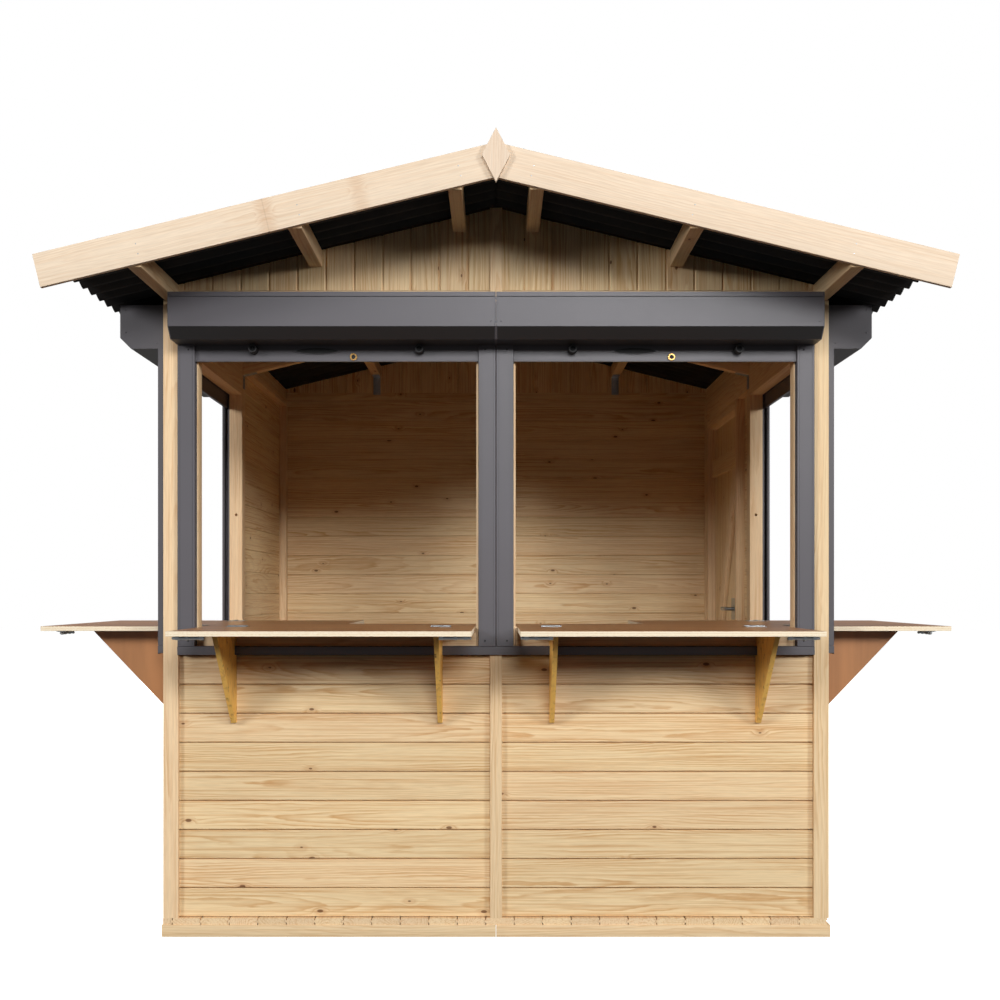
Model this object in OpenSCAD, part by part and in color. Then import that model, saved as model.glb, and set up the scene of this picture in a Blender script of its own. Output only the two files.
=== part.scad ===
// Wooden market stall: a boarded timber hut with a gable roof, four serving
// openings closed by roller shutters, fold-up counters and a side door.
// +X is the right-hand side, +Y the back and +Z up. The origin is the centre
// of the base, on the ground.

/* [Body] */
// Width over the corner trims
body_w = 2500; // [2080:10:3000]
// Depth over the front and rear trims
body_d = 2500; // [2080:10:3000]
// Height of the wall tops, where the eaves purlins rest
wall_top = 2390; // [2260:10:2900]

/* [Base] */
// Height of the base beams and the joists
beam_h = 45; // [36:1:100]
// Width of the base beams and the joists
beam_w = 58; // [36:1:100]
// How far the base beams stand out past the walls
base_proud = 4; // [0:1:20]
// Number of joists under the floor, an odd number
joist_n = 5; // [3:2:9]
// Thickness of the floor boards
floor_t = 25; // [16:1:40]

/* [Walls] */
// Thickness of the wall boards
board_t = 20; // [14:1:30]
// Depth of the posts, the headers and the timber sills
post_t = 60; // [45:1:90]
// Width of the wall left beside an opening at a front corner
corner_post_w = 128; // [100:1:180]
// Half the width of the post between two openings
mid_post_half = 74; // [70:1:110]
// Width of the studs behind the boards
stud_w = 60; // [40:1:90]
// Thickness of the corner trims and the centre battens
trim_t = 20; // [12:1:30]
// Width of the corner trims
trim_w = 57; // [45:1:70]
// Width of the centre battens
batten_w = 45; // [35:1:60]
// Side of the square battens inside the rear corners
corner_batten = 40; // [25:1:60]

/* [Roller shutters] */
// Height and depth of a shutter box
box_h = 165; // [137:1:205]
// How far a shutter box stands out from its wall
box_depth = 178; // [150:1:220]
// Size of the sloping lower edge of a shutter box
box_chamfer = 40; // [20:1:60]
// Height of a shutter box's top above the ground
box_top = 2384.5; // [2250:0.5:2390]
// Width of a guide rail
rail_w = 66; // [50:1:70]
// Depth of a guide rail
rail_depth = 35; // [25:1:50]
// Width of the slot that the shutter slats run in
rail_slot = 16; // [10:1:22]
// Thickness of the end slat
slat_t = 12; // [8:1:14]
// Height of the end slat that hangs below the box
slat_h = 60; // [40:1:90]
// Height of the metal sill profile under the rails
sill_profile_h = 33; // [20:1:45]

/* [Counters] */
// Height of the counter tops above the ground
counter_z = 1162; // [900:1:1300]
// Thickness of the counter boards
ply_t = 18; // [12:1:30]
// Depth of a fold-up counter, from its hinge line
flap_depth = 570; // [400:5:680]
// Gap between a fold-up counter and the jambs
flap_gap = 8; // [6:1:14]
// Depth of the fixed worktop behind the front openings
worktop_front_depth = 446; // [300:1:600]
// Depth of the fixed worktops behind the side openings
worktop_side_depth = 570; // [300:1:640]
// Distance of the hinges, brackets and stops from a counter's ends
fitting_inset = 128; // [90:1:250]
// Reach and height of a counter bracket
bracket_reach = 340; // [240:5:380]
// Thickness of a counter bracket
bracket_t = 18; // [12:1:30]
// Width of the blunt tips of a counter bracket
bracket_tip = 22; // [12:1:40]

/* [Door] */
// Width of the door leaf
door_w = 784; // [650:1:850]
// Height of the door leaf
door_h = 2124; // [1900:1:2130]
// Distance from the rear face of the hut to the door leaf's hinge edge
door_inset = 161; // [130:1:200]
// Gap around the door leaf
door_gap = 6; // [5:1:10]
// Face width of the door frame
door_frame_w = 44; // [30:1:60]
// Width of the ledges and braces on the inside of the door
ledge_w = 95; // [70:1:120]

/* [Roof] */
// Rise of the roof for each unit of run
pitch = 0.2417; // [0.15:0.0001:0.4]
// How far the roof runs out past the front and rear trims
roof_overhang = 502; // [200:1:700]
// How far the sheets run out past the side walls
eaves_overhang = 236; // [100:1:400]
// Height of the corrugated roof sheets
sheet_t = 38; // [20:1:60]
// Width of a purlin
purlin_w = 48; // [38:1:80]
// Height of a purlin at its middle line
purlin_h = 58; // [45:1:100]
// Distance of the highest purlins from the middle
ridge_purlin_x = 138; // [80:1:250]
// Width of a bargeboard, square to its edges
barge_h = 115; // [90:1:160]
// Thickness of a bargeboard
barge_t = 20; // [15:1:30]
// How far a bargeboard's top edge stands above the sheets
barge_rise = 23; // [12:1:50]
// Height of the rafters between the purlins and the middle posts
rafter_h = 75; // [60:1:120]
// Thickness of the rafters
rafter_t = 45; // [36:1:60]
// Width of the diamond at the top of the gable
diamond_w = 95; // [60:1:150]
// Height of the diamond at the top of the gable
diamond_h = 181; // [120:1:260]

/* [Hidden] */

$fn = 48;
fit = 0.5;                                   // joint gap between seated pieces
half_w = body_w / 2;
half_d = body_d / 2;
front_plane = half_d - trim_t;               // outer face of the front boards and posts
side_plane = half_w;                         // outer face of the side boards and posts
floor_top = beam_h + floor_t;

front_unit_w = half_w - trim_w;              // length of a front shutter
side_unit_w = half_d - trim_w;               // length of a side shutter
front_open_end = half_w - corner_post_w;     // far jamb of a front opening
side_open_end = half_d - corner_post_w;      // far jamb of a side opening

counter_low = counter_z - ply_t;             // underside of the counter boards
sill_top = counter_low - fit;
sill_profile_z = 1059 + (counter_z - 1162);  // underside of the metal sill profile
rail_low = sill_profile_z + sill_profile_h;
low_wall_top = sill_profile_z + 1;           // top of the boards below the openings
box_low = box_top - box_h;
slat_v = (rail_depth - slat_t) / 2 - 1;      // how far the slat stands from the wall plane

hinge_gap = 5;                               // between counter and worktop, at the hinge
hinge_pin_r = 1.8;
hinge_knuckle_r = 2.7;
hinge_len = 76;
hinge_leaf_w = 45;
hinge_leaf_t = 2;
hinge_axis_z = counter_z + 3;
leaf_low = counter_z + 0.2;                  // hinge leaves lie on the counter boards
leaf_high = leaf_low + hinge_leaf_t;
pin_clear = 0.1;

bolt_from_tip = 78;                          // barrel bolts, measured from the counter's tip
bolt_len = 130;
bolt_plate_w = 38;
bolt_plate_t = 3;
bolt_r = 5;
bolt_drop = 7;                               // bolt centre below the counter
bolt_hole_r = 6.5;
bolt_hole_depth = 30;
bolt_hole_v = -post_t - (counter_low - bolt_drop - hinge_axis_z);
bolt_hole_z = hinge_axis_z + flap_depth - bolt_from_tip;

door_rear = half_d - door_inset;             // hinge edge of the leaf
door_front = door_rear - door_w;
door_low = floor_top + door_gap;
door_high = door_low + door_h;
frame_rear = door_rear + door_gap;           // clear opening of the frame
frame_front = door_front - door_gap;
frame_high = door_high + door_gap;
door_axis_x = side_plane + 8;
door_axis_y = door_rear + 3;
strap_t = 4;
strap_h = 40;
strap_len = 320;
strap_eye_r = 7;
strap_pin_r = 3.5;
ledge_t = 20;
ledge_edge = 30;                             // ledges stop short of the leaf's edges
strap_z = [door_low + 220, door_low + 700, door_high - 220];
lock_z = counter_z + 48;
lock_w = 130;
lock_h = 109;
lock_t = 30;
lever_r = 9;
lever_len = 115;
rose_r = 25;

eaves_purlin_x = half_w - 29;
purlin_x = [eaves_purlin_x, (eaves_purlin_x + ridge_purlin_x) / 2, ridge_purlin_x];
ridge_under = wall_top + purlin_h + pitch * eaves_purlin_x;
sheet_rise = sheet_t * sqrt(1 + pitch * pitch);
barge_face = half_d + roof_overhang;         // outer face of the bargeboards
barge_back = barge_face - barge_t;
barge_end = half_w + 307;                    // far end of a bargeboard's top edge
barge_top = ridge_under + sheet_rise + barge_rise;
barge_v = barge_h * sqrt(1 + pitch * pitch);
sheet_end = half_w + eaves_overhang;
cap_w = 190;
cap_t = 8;
gable_low = wall_top + 42;                   // where the upright gable boards begin
gable_end = eaves_purlin_x - purlin_w / 2 - fit;
diamond_t = 18;

pine = "#dcbd91";
trim_pine = "#e6cdaa";
anthracite = "#55565b";
rubber = "#1c1c1d";
bitumen = "#1d1c1d";
film_ply = "#8a6d58";
veneer = "#c99b4a";
steel = "#a9adb0";

// Height of the sheets' underside at a distance x from the middle
function roof_under(x) = ridge_under - pitch * abs(x);

// A box given by its lowest and its highest corner
module block(low, high) translate(low) cube(high - low);

// The children, and the same on the left-hand side
module both_sides() {
    children();
    mirror([1, 0, 0]) children();
}

// The children, and the same at the rear
module both_ends() {
    children();
    mirror([0, 1, 0]) children();
}

// An opening's own axes: x runs along the wall from the middle to the corner,
// y outwards from the wall plane. These put it on each wall.
module on_front_right() translate([0, -front_plane, 0]) mirror([0, 1, 0]) children();
module on_front_left() mirror([1, 0, 0]) on_front_right() children();
module on_right() translate([side_plane, 0, 0]) rotate([0, 0, -90]) children();
module on_left() mirror([1, 0, 0]) on_right() children();

// An outline in the x-z plane, given a thickness from y = from to y = to
module upright(from, to) translate([0, to, 0]) rotate([90, 0, 0]) linear_extrude(to - from) children();

// ---- base and floor ----

module base_beams() color(trim_pine) {
    outer_x = half_w + base_proud;
    outer_y = half_d + base_proud;
    both_ends() difference() {
        block([-outer_x, -outer_y, 0], [outer_x, -outer_y + beam_w, beam_h]);
        block([-1, -outer_y - 1, -1], [1, -outer_y + 4, beam_h + 1]);
    }
    both_sides() block([outer_x - beam_w, -outer_y + beam_w + fit, 0],
                       [outer_x, outer_y - beam_w - fit, beam_h]);
}

module floor_joists() color(pine) {
    clear_x = half_w + base_proud - beam_w - fit;
    pitch_y = (body_d - 2 * beam_w) / (joist_n + 1);
    for (i = [0 : joist_n - 1]) {
        y = (i - (joist_n - 1) / 2) * pitch_y;
        block([-clear_x, y - beam_w / 2, 0], [clear_x, y + beam_w / 2, beam_h]);
    }
}

module floor() color(pine)
    block([-half_w, -half_d, beam_h], [half_w, half_d, floor_top]);

// ---- boarded walls ----

module front_wall() color(pine) both_sides()
    block([1, -front_plane, floor_top], [half_w - board_t - fit, -front_plane + board_t, low_wall_top]);

module side_wall_front() color(pine)
    block([side_plane - board_t, -front_plane, floor_top], [side_plane, -fit, low_wall_top]);

module right_wall_front() side_wall_front();

module left_wall_front() mirror([1, 0, 0]) side_wall_front();

module left_wall_rear() color(pine)
    block([-side_plane, fit, floor_top], [-side_plane + board_t, front_plane, wall_top - fit]);

module right_wall_by_door() color(pine) {
    block([side_plane - board_t, fit, floor_top],
          [side_plane, frame_front - door_frame_w - fit, wall_top - fit]);
    block([side_plane - board_t, frame_rear + door_frame_w + fit, floor_top],
          [side_plane, front_plane, wall_top - fit]);
}

module right_wall_over_door() color(pine)
    block([side_plane - board_t, frame_front - door_frame_w, frame_high + door_frame_w + fit],
          [side_plane, frame_rear + door_frame_w, wall_top - fit]);

module rear_wall() color(pine) union() {
    wide = half_w - board_t - fit;
    block([-wide, front_plane - board_t, floor_top], [wide, front_plane, wall_top - fit]);
    block([-gable_end, front_plane - board_t, wall_top - 1], [gable_end, front_plane, gable_low - fit]);
}

module gable() color(pine) upright(-front_plane, -front_plane + board_t) difference() {
    polygon([[-gable_end, gable_low], [gable_end, gable_low], [gable_end, roof_under(gable_end) - fit],
             [0, ridge_under - fit], [-gable_end, roof_under(gable_end) - fit]]);
    for (x = purlin_x, s = [-1, 1])
        translate([s * x - purlin_w / 2 - fit, roof_under(x) - purlin_h - fit])
            square([purlin_w + 2 * fit, 2 * purlin_h]);
}

module front_gable() gable();

module rear_gable() mirror([0, 1, 0]) gable();

// ---- posts and beams ----

// The hole in a jamb that a barrel bolt goes into, in an opening's own axes
module bolt_hole(from, to)
    translate([from, bolt_hole_v, bolt_hole_z]) rotate([0, 90, 0]) cylinder(r = bolt_hole_r, h = to - from);

module corner_posts() color(trim_pine) both_sides() {
    difference() {
        union() {
            block([front_open_end, -front_plane, low_wall_top + fit],
                  [half_w, -front_plane + post_t, wall_top - fit]);
            block([front_open_end, -front_plane + board_t + fit, floor_top],
                  [half_w - board_t - fit, -front_plane + post_t, low_wall_top + 2]);
        }
        on_front_right() bolt_hole(front_open_end - 1, front_open_end + bolt_hole_depth);
    }
    difference() {
        union() {
            block([side_plane - post_t, -front_plane + post_t + fit, low_wall_top + fit],
                  [side_plane, -side_open_end, wall_top - fit]);
            block([side_plane - post_t, -front_plane + post_t + fit, floor_top],
                  [side_plane - board_t - fit, -side_open_end, low_wall_top + 2]);
        }
        on_right() bolt_hole(side_open_end - 1, side_open_end + bolt_hole_depth);
    }
}

module middle_posts() color(trim_pine) {
    difference() {
        union() {
            block([-mid_post_half, -front_plane, low_wall_top + fit],
                  [mid_post_half, -front_plane + post_t, wall_top - fit]);
            block([-stud_w / 2, -front_plane + board_t + fit, floor_top],
                  [stud_w / 2, -front_plane + post_t, low_wall_top + 2]);
        }
        both_sides() on_front_right() bolt_hole(mid_post_half - bolt_hole_depth, mid_post_half + 1);
    }
    both_sides() difference() {
        union() {
            block([side_plane - post_t, -mid_post_half, low_wall_top + fit],
                  [side_plane, -fit, wall_top - fit]);
            block([side_plane - post_t, -mid_post_half, floor_top],
                  [side_plane - board_t - fit, -fit, wall_top - fit]);
        }
        on_right() bolt_hole(mid_post_half - bolt_hole_depth, mid_post_half + 1);
    }
}

module rear_corner_battens() color(trim_pine) both_sides() {
    x = side_plane - board_t - fit;
    y = front_plane - board_t - fit;
    block([x - corner_batten, y - corner_batten, floor_top], [x, y, wall_top - fit]);
}

module header(to) block([mid_post_half + fit, -post_t, box_low], [to - fit, 0, wall_top - fit]);

module headers() color(trim_pine) both_sides() {
    on_front_right() header(front_open_end);
    on_right() header(side_open_end);
}

// The plate under the front gable, and the rails at the top of the closed walls
module top_plates() color(trim_pine) {
    block([-gable_end, -front_plane, wall_top], [gable_end, -front_plane + post_t, gable_low - fit]);
    x = side_plane - board_t - fit;
    rear = front_plane - board_t - corner_batten - 2 * fit;
    mirror([1, 0, 0]) block([x - corner_batten, 0, wall_top - corner_batten], [x, rear, wall_top - fit]);
    block([x - corner_batten, 0, frame_high + door_frame_w + fit], [x, rear, wall_top - fit]);
}

module timber_sill(to) block([mid_post_half + fit, -post_t, low_wall_top + fit], [to - fit, 0, sill_top]);

module timber_sills() color(trim_pine) both_sides() {
    on_front_right() timber_sill(front_open_end);
    on_right() timber_sill(side_open_end);
}

module corner_trims() color(trim_pine) both_ends() both_sides()
    block([half_w - trim_w, -half_d, floor_top], [half_w, -half_d + trim_t - fit, wall_top - fit]);

module centre_battens() color(trim_pine) {
    x = batten_w / 2;
    y = half_d;
    t = trim_t - fit;
    high = roof_under(x) - fit;
    block([-x, -y, floor_top], [x, -y + t, sill_profile_z - fit]);
    block([-x, -y, box_top + fit], [x, -y + t, high]);
    block([-x, y - t, floor_top], [x, y, high]);
}

// ---- roller shutters ----

module sill_profile(from, to)
    block([from, fit, sill_profile_z], [to, rail_depth, rail_low - fit]);

module sill_profiles() color(anthracite) {
    on_front_right() sill_profile(-front_unit_w, front_unit_w);
    both_sides() on_right() sill_profile(0, side_unit_w);
}

module shutter_box(length) {
    chamfer = box_chamfer;
    translate([fit, 0, 0]) rotate([90, 0, 90]) linear_extrude(length - 2 * fit)
        polygon([[fit, box_low + fit], [box_depth - chamfer, box_low + fit], [box_depth, box_low + chamfer],
                 [box_depth, box_top], [fit, box_top]]);
}

module shutter_boxes() color(anthracite) both_sides() {
    on_front_right() shutter_box(front_unit_w);
    on_right() shutter_box(side_unit_w);
}

// A pair of rails, each with a slot that opens towards the other
module guide_rail_pair(length) {
    lip = 36;
    for (end = [0, 1]) translate([end * length, 0, 0]) mirror([end, 0, 0]) difference() {
        block([fit, fit, rail_low], [rail_w, rail_depth, box_low]);
        block([rail_w - lip, slat_v - (rail_slot - slat_t) / 2, rail_low - 1],
              [rail_w + 1, slat_v + slat_t + (rail_slot - slat_t) / 2, box_low + 1]);
    }
}

module guide_rails() color(anthracite) both_sides() {
    on_front_right() guide_rail_pair(front_unit_w);
    on_right() guide_rail_pair(side_unit_w);
}

slat_inset = rail_w - 34;                    // the slat's ends lie in the rail slots
// The last slat, which hangs below the box when the shutter is open
module end_slat(length)
    block([slat_inset, slat_v, box_low - slat_h], [length - slat_inset, slat_v + slat_t, box_low]);

module end_slats() color(anthracite) both_sides() {
    on_front_right() end_slat(front_unit_w);
    on_right() end_slat(side_unit_w);
}

stop_r = 17;
stop_len = 40;
stop_from_end = 286;                         // middle of a stop, from the end of the unit
// Two round rubber stops on the face of an end slat, just below the box
module slat_stop_pair(length) for (x = [stop_from_end, length - stop_from_end])
    translate([x, slat_v + slat_t + 0.3, box_low - stop_r - 1]) rotate([-90, 0, 0])
        cylinder(r = stop_r, h = stop_len);

module slat_stops() color(rubber) both_sides() {
    on_front_right() slat_stop_pair(front_unit_w);
    on_right() slat_stop_pair(side_unit_w);
}

// ---- counters ----

flap_from = mid_post_half + flap_gap;        // counter ends, along the wall
front_flap_to = front_open_end - flap_gap;
side_flap_to = side_open_end - flap_gap;
hinge_v = -post_t;                           // hinge line, on the inner face of the posts

// A fold-up counter, in an opening's own axes
module counter(to) color(film_ply)
    block([flap_from, hinge_v + hinge_gap / 2, counter_low], [to, hinge_v + flap_depth, counter_z]);

module counter_front_right() on_front_right() counter(front_flap_to);

module counter_front_left() on_front_left() counter(front_flap_to);

module counter_right() on_right() counter(side_flap_to);

module counter_left() on_left() counter(side_flap_to);

// A barrel bolt under a counter, whose bar ends at x = 0 and points along -x
module barrel_bolt() translate([3, hinge_v + flap_depth - bolt_from_tip, counter_low]) {
    block([2, -bolt_plate_w / 2, -bolt_plate_t - fit], [bolt_len, bolt_plate_w / 2, -fit]);
    translate([0, 0, -bolt_drop - 1]) rotate([0, 90, 0]) cylinder(r = bolt_r, h = bolt_len - 12);
    translate([bolt_len * 0.62, 0, -bolt_drop - 1]) rotate([90, 0, 0]) cylinder(r = 3.5, h = 27);
    for (x = [14, bolt_len * 0.4, bolt_len * 0.8])
        block([x, -10, -bolt_drop - 8], [x + 12, 10, -bolt_plate_t]);
}

// The leaf of a counter hinge that turns, with the middle knuckle
module hinge_leaf_moving() {
    third = hinge_len / 3;
    difference() {
        union() {
            block([-hinge_len / 2, 6, leaf_low], [hinge_len / 2, hinge_leaf_w, leaf_high]);
            block([-third / 2 + fit, 0, counter_z + 1], [third / 2 - fit, 8, leaf_high]);
            translate([-third / 2 + fit, 0, hinge_axis_z]) rotate([0, 90, 0])
                cylinder(r = hinge_knuckle_r, h = third - 2 * fit);
        }
        translate([-hinge_len, 0, hinge_axis_z]) rotate([0, 90, 0])
            cylinder(r = hinge_pin_r + pin_clear, h = 2 * hinge_len);
    }
}

// The leaf of a counter hinge that stays, with the outer knuckles and the pin
module hinge_leaf_fixed() {
    third = hinge_len / 3;
    union() {
        block([-hinge_len / 2, -hinge_leaf_w, leaf_low], [hinge_len / 2, -6, leaf_high]);
        for (s = [-1, 1]) {
            low = (s < 0) ? -hinge_len / 2 : third / 2;
            block([low, -8, counter_z + 1], [low + third, 0, leaf_high]);
            translate([low, 0, hinge_axis_z]) rotate([0, 90, 0])
                cylinder(r = hinge_knuckle_r, h = third);
        }
        translate([-hinge_len / 2, 0, hinge_axis_z]) rotate([0, 90, 0])
            cylinder(r = hinge_pin_r, h = hinge_len);
    }
}

// What moves with a counter: two barrel bolts and the turning hinge leaves
module fittings(to) color(steel) {
    translate([flap_from, 0, 0]) barrel_bolt();
    translate([to, 0, 0]) mirror([1, 0, 0]) barrel_bolt();
    for (x = [flap_from + fitting_inset, to - fitting_inset])
        translate([x, hinge_v, 0]) hinge_leaf_moving();
}

module fittings_front_right() on_front_right() fittings(front_flap_to);

module fittings_front_left() on_front_left() fittings(front_flap_to);

module fittings_right() on_right() fittings(side_flap_to);

module fittings_left() on_left() fittings(side_flap_to);

module counter_hinges() color(steel) both_sides() {
    for (x = [flap_from + fitting_inset, front_flap_to - fitting_inset])
        on_front_right() translate([x, hinge_v, 0]) hinge_leaf_fixed();
    for (x = [flap_from + fitting_inset, side_flap_to - fitting_inset])
        on_right() translate([x, hinge_v, 0]) hinge_leaf_fixed();
}

// A triangular bracket that stands out from a wall plane, cut around the metal sill
module bracket_outline() difference() {
    polygon([[fit, sill_top - bracket_reach], [bracket_tip, sill_top - bracket_reach],
             [bracket_reach, sill_top - bracket_tip], [bracket_reach, sill_top], [fit, sill_top]]);
    translate([0, sill_profile_z - fit]) square([rail_depth + fit, sill_profile_h + fit]);
}

module counter_bracket(x)
    translate([x - bracket_t / 2, 0, 0]) rotate([90, 0, 90]) linear_extrude(bracket_t) bracket_outline();

module counter_brackets() color(veneer) both_sides() {
    for (x = [flap_from + fitting_inset, front_flap_to - fitting_inset]) on_front_right() counter_bracket(x);
    for (x = [flap_from + fitting_inset, side_flap_to - fitting_inset]) on_right() counter_bracket(x);
}

worktop_x = side_plane - post_t - hinge_gap / 2;     // the worktops end at the hinge lines
worktop_y = -front_plane + post_t + hinge_gap / 2;
worktop_back = worktop_y + worktop_front_depth;

module worktops() color(film_ply) {
    block([-worktop_x, worktop_y, counter_low], [worktop_x, worktop_back, counter_z]);
    both_sides() block([worktop_x - worktop_side_depth, worktop_back + fit, counter_low],
                       [worktop_x, -mid_post_half, counter_z]);
}

// Ledgers on the inner faces of the walls, and brackets inside under the worktops
module worktop_supports() color(trim_pine) {
    ledger = 40;
    inner_x = side_plane - post_t - fit;
    inner_y = -front_plane + post_t + fit;
    high = counter_low - fit;
    block([-inner_x, inner_y, high - ledger], [inner_x, inner_y + ledger, high]);
    both_sides() block([inner_x - ledger, inner_y + ledger + fit, high - ledger],
                       [inner_x, -mid_post_half, high]);
    for (x = [flap_from + fitting_inset, front_flap_to - fitting_inset]) both_sides()
        translate([x - bracket_t / 2, inner_y + ledger + fit, high]) rotate([90, 0, 90])
            linear_extrude(bracket_t) worktop_bracket_outline(ledger);
    side_y = [-flap_from - fitting_inset, worktop_back + 1.5 * ledger];
    for (y = side_y) both_sides()
        translate([inner_x - ledger - fit, y - bracket_t / 2, high]) rotate([90, 0, 180])
            linear_extrude(bracket_t) worktop_bracket_outline(ledger);
}

// The outline of an inner bracket, with its corner at the ledger's top inner edge
module worktop_bracket_outline(ledger) {
    reach = bracket_reach - ledger;
    polygon([[0, -reach], [bracket_tip, -reach], [reach, -bracket_tip], [reach, 0], [0, 0]]);
}

// ---- door ----

module door() color(pine)
    block([side_plane - board_t, door_front, door_low], [side_plane, door_rear, door_high]);

module door_ledges() color(trim_pine) {
    x = side_plane - board_t - fit;
    from = door_front + ledge_edge;
    to = door_rear - ledge_edge;
    for (z = strap_z) block([x - ledge_t, from, z - ledge_w / 2], [x, to, z + ledge_w / 2]);
    for (i = [0, 1]) {
        low = strap_z[i] + ledge_w / 2 + fit;
        high = strap_z[i + 1] - ledge_w / 2 - fit;
        translate([x, 0, 0]) rotate([90, 0, -90]) linear_extrude(ledge_t)
            polygon([[-to, low], [-to + ledge_w * 1.2, low], [-from, high], [-from - ledge_w * 1.2, high]]);
    }
}

// The straps on the outside of the door, each with an eye round its pin
module door_straps() color(steel) for (z = strap_z) difference() {
    union() {
        block([side_plane + 0.3, door_axis_y - strap_len, z - strap_h / 2],
              [side_plane + 0.3 + strap_t, door_axis_y - strap_eye_r - 1, z + strap_h / 2]);
        block([side_plane + 0.3, door_axis_y - 12, z - strap_h / 6],
              [side_plane + 0.3 + strap_t, door_axis_y, z + strap_h / 6]);
        translate([door_axis_x, door_axis_y, z - strap_h / 6]) cylinder(r = strap_eye_r, h = strap_h / 3);
    }
    translate([door_axis_x, door_axis_y, z - strap_h]) cylinder(r = strap_pin_r + pin_clear, h = 2 * strap_h);
}

// The fixed hinge leaves, with the pins that the straps turn on
module door_hinge_pins() color(steel) for (z = strap_z) union() {
    plate_end = frame_rear + door_frame_w - 4;
    translate([door_axis_x, door_axis_y, z - strap_h / 2]) cylinder(r = strap_pin_r, h = strap_h);
    for (s = [-1, 1]) {
        low = (s < 0) ? z - strap_h / 2 : z + strap_h / 6 + 0.3;
        high = low + strap_h / 3 - 0.3;
        translate([door_axis_x, door_axis_y, low]) cylinder(r = strap_eye_r, h = high - low);
        block([side_plane + 0.3, door_axis_y, low],
              [side_plane + 0.3 + strap_t, door_axis_y + strap_eye_r + 3, high]);
    }
    block([side_plane + 0.3, door_axis_y + strap_eye_r + 2, z - strap_h / 2],
          [side_plane + 0.3 + strap_t, plate_end, z + strap_h / 2]);
}

// A box lock on the inside, with a lever handle on a rose on each side of the leaf
module door_lock() color(steel) {
    inside = side_plane - board_t;
    y = door_front + 70;
    block([inside - fit - lock_t, door_front + 8, lock_z - lock_h / 2],
          [inside - fit, door_front + 8 + lock_w, lock_z + lock_h / 2]);
    union() {
        translate([side_plane + 0.3, y, lock_z]) rotate([0, 90, 0]) cylinder(r = rose_r, h = 6);
        translate([side_plane + 1, y, lock_z]) rotate([0, 90, 0]) cylinder(r = lever_r, h = 48);
        translate([side_plane + 40, y, lock_z]) rotate([-90, 0, 0]) cylinder(r = lever_r, h = lever_len);
    }
    union() {
        translate([inside - fit - lock_t - 48, y, lock_z]) rotate([0, 90, 0]) cylinder(r = lever_r, h = 47.6);
        translate([inside - fit - lock_t - 39, y, lock_z]) rotate([-90, 0, 0])
            cylinder(r = lever_r, h = lever_len);
    }
}

module door_frame() color(trim_pine) {
    x = side_plane - post_t;
    high = frame_high + door_frame_w;
    stop_w = 14;
    stop_x = side_plane - board_t - 1 - stop_w;
    block([x, frame_rear, floor_top], [side_plane, frame_rear + door_frame_w, high]);
    stop_y = door_front + 6;                 // the leaf shuts against the stops
    union() {
        block([x, frame_front - door_frame_w, floor_top], [side_plane, frame_front, high]);
        block([stop_x, frame_front - 1, floor_top], [stop_x + stop_w, stop_y, lock_z - lock_h]);
        block([stop_x, frame_front - 1, lock_z + lock_h], [stop_x + stop_w, stop_y, frame_high - fit]);
    }
    block([x, frame_front + fit, frame_high], [side_plane, frame_rear - fit, high]);
}

// ---- roof ----

module purlins() color(trim_pine) both_sides() for (x = purlin_x) {
    low = x - purlin_w / 2;
    high = x + purlin_w / 2;
    under = roof_under(x) - purlin_h;
    upright(-barge_back + fit, barge_back - fit)
        polygon([[low, under], [high, under], [high, roof_under(high)], [low, roof_under(low)]]);
}

// A pair of rafters under the purlins, between the middle posts of the two sides
module rafters() color(trim_pine) both_sides() {
    inner = side_plane - post_t - fit;
    drop = purlin_h + pitch * purlin_w / 2 + fit;
    rise = rafter_h * sqrt(1 + pitch * pitch);
    upright(-mid_post_half / 2 - rafter_t / 2, -mid_post_half / 2 + rafter_t / 2)
        polygon([[fit, roof_under(fit) - drop], [inner, roof_under(inner) - drop],
                 [inner, roof_under(inner) - drop - rise], [fit, roof_under(fit) - drop - rise]]);
}

module roof_half() color(bitumen) upright(-barge_back + fit, barge_back - fit)
    polygon([[fit, roof_under(0) + fit], [sheet_end, roof_under(sheet_end) + fit],
             [sheet_end + pitch * sheet_t, roof_under(sheet_end) + fit + sheet_t],
             [fit, roof_under(0) + sheet_rise]]);

module roof_right() roof_half();

module roof_left() mirror([1, 0, 0]) roof_half();

module ridge_cap() color(bitumen) {
    low = ridge_under + sheet_rise + 3;
    drop = pitch * cap_w;
    upright(-barge_back + fit, barge_back - fit)
        polygon([[0, low], [cap_w, low - drop], [cap_w, low - drop + cap_t], [0, low + cap_t],
                 [-cap_w, low - drop + cap_t], [-cap_w, low - drop]]);
}

module bargeboards() color(trim_pine) both_ends() both_sides() {
    cut = barge_h * pitch / sqrt(1 + pitch * pitch);
    end_top = barge_top - pitch * barge_end;
    end_low = end_top - barge_h / sqrt(1 + pitch * pitch);
    upright(-barge_face, -barge_back)
        polygon([[fit, barge_top], [fit, barge_top - barge_v],
                 [barge_end - cut, end_low], [barge_end, end_top]]);
}

module diamonds() color(trim_pine) both_ends() {
    middle = barge_top - barge_v / 2 + 11;
    upright(-barge_face - diamond_t, -barge_face - fit)
        polygon([[-diamond_w / 2, middle], [0, middle - diamond_h / 2], [diamond_w / 2, middle],
                 [0, middle + diamond_h / 2]]);
}

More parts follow.
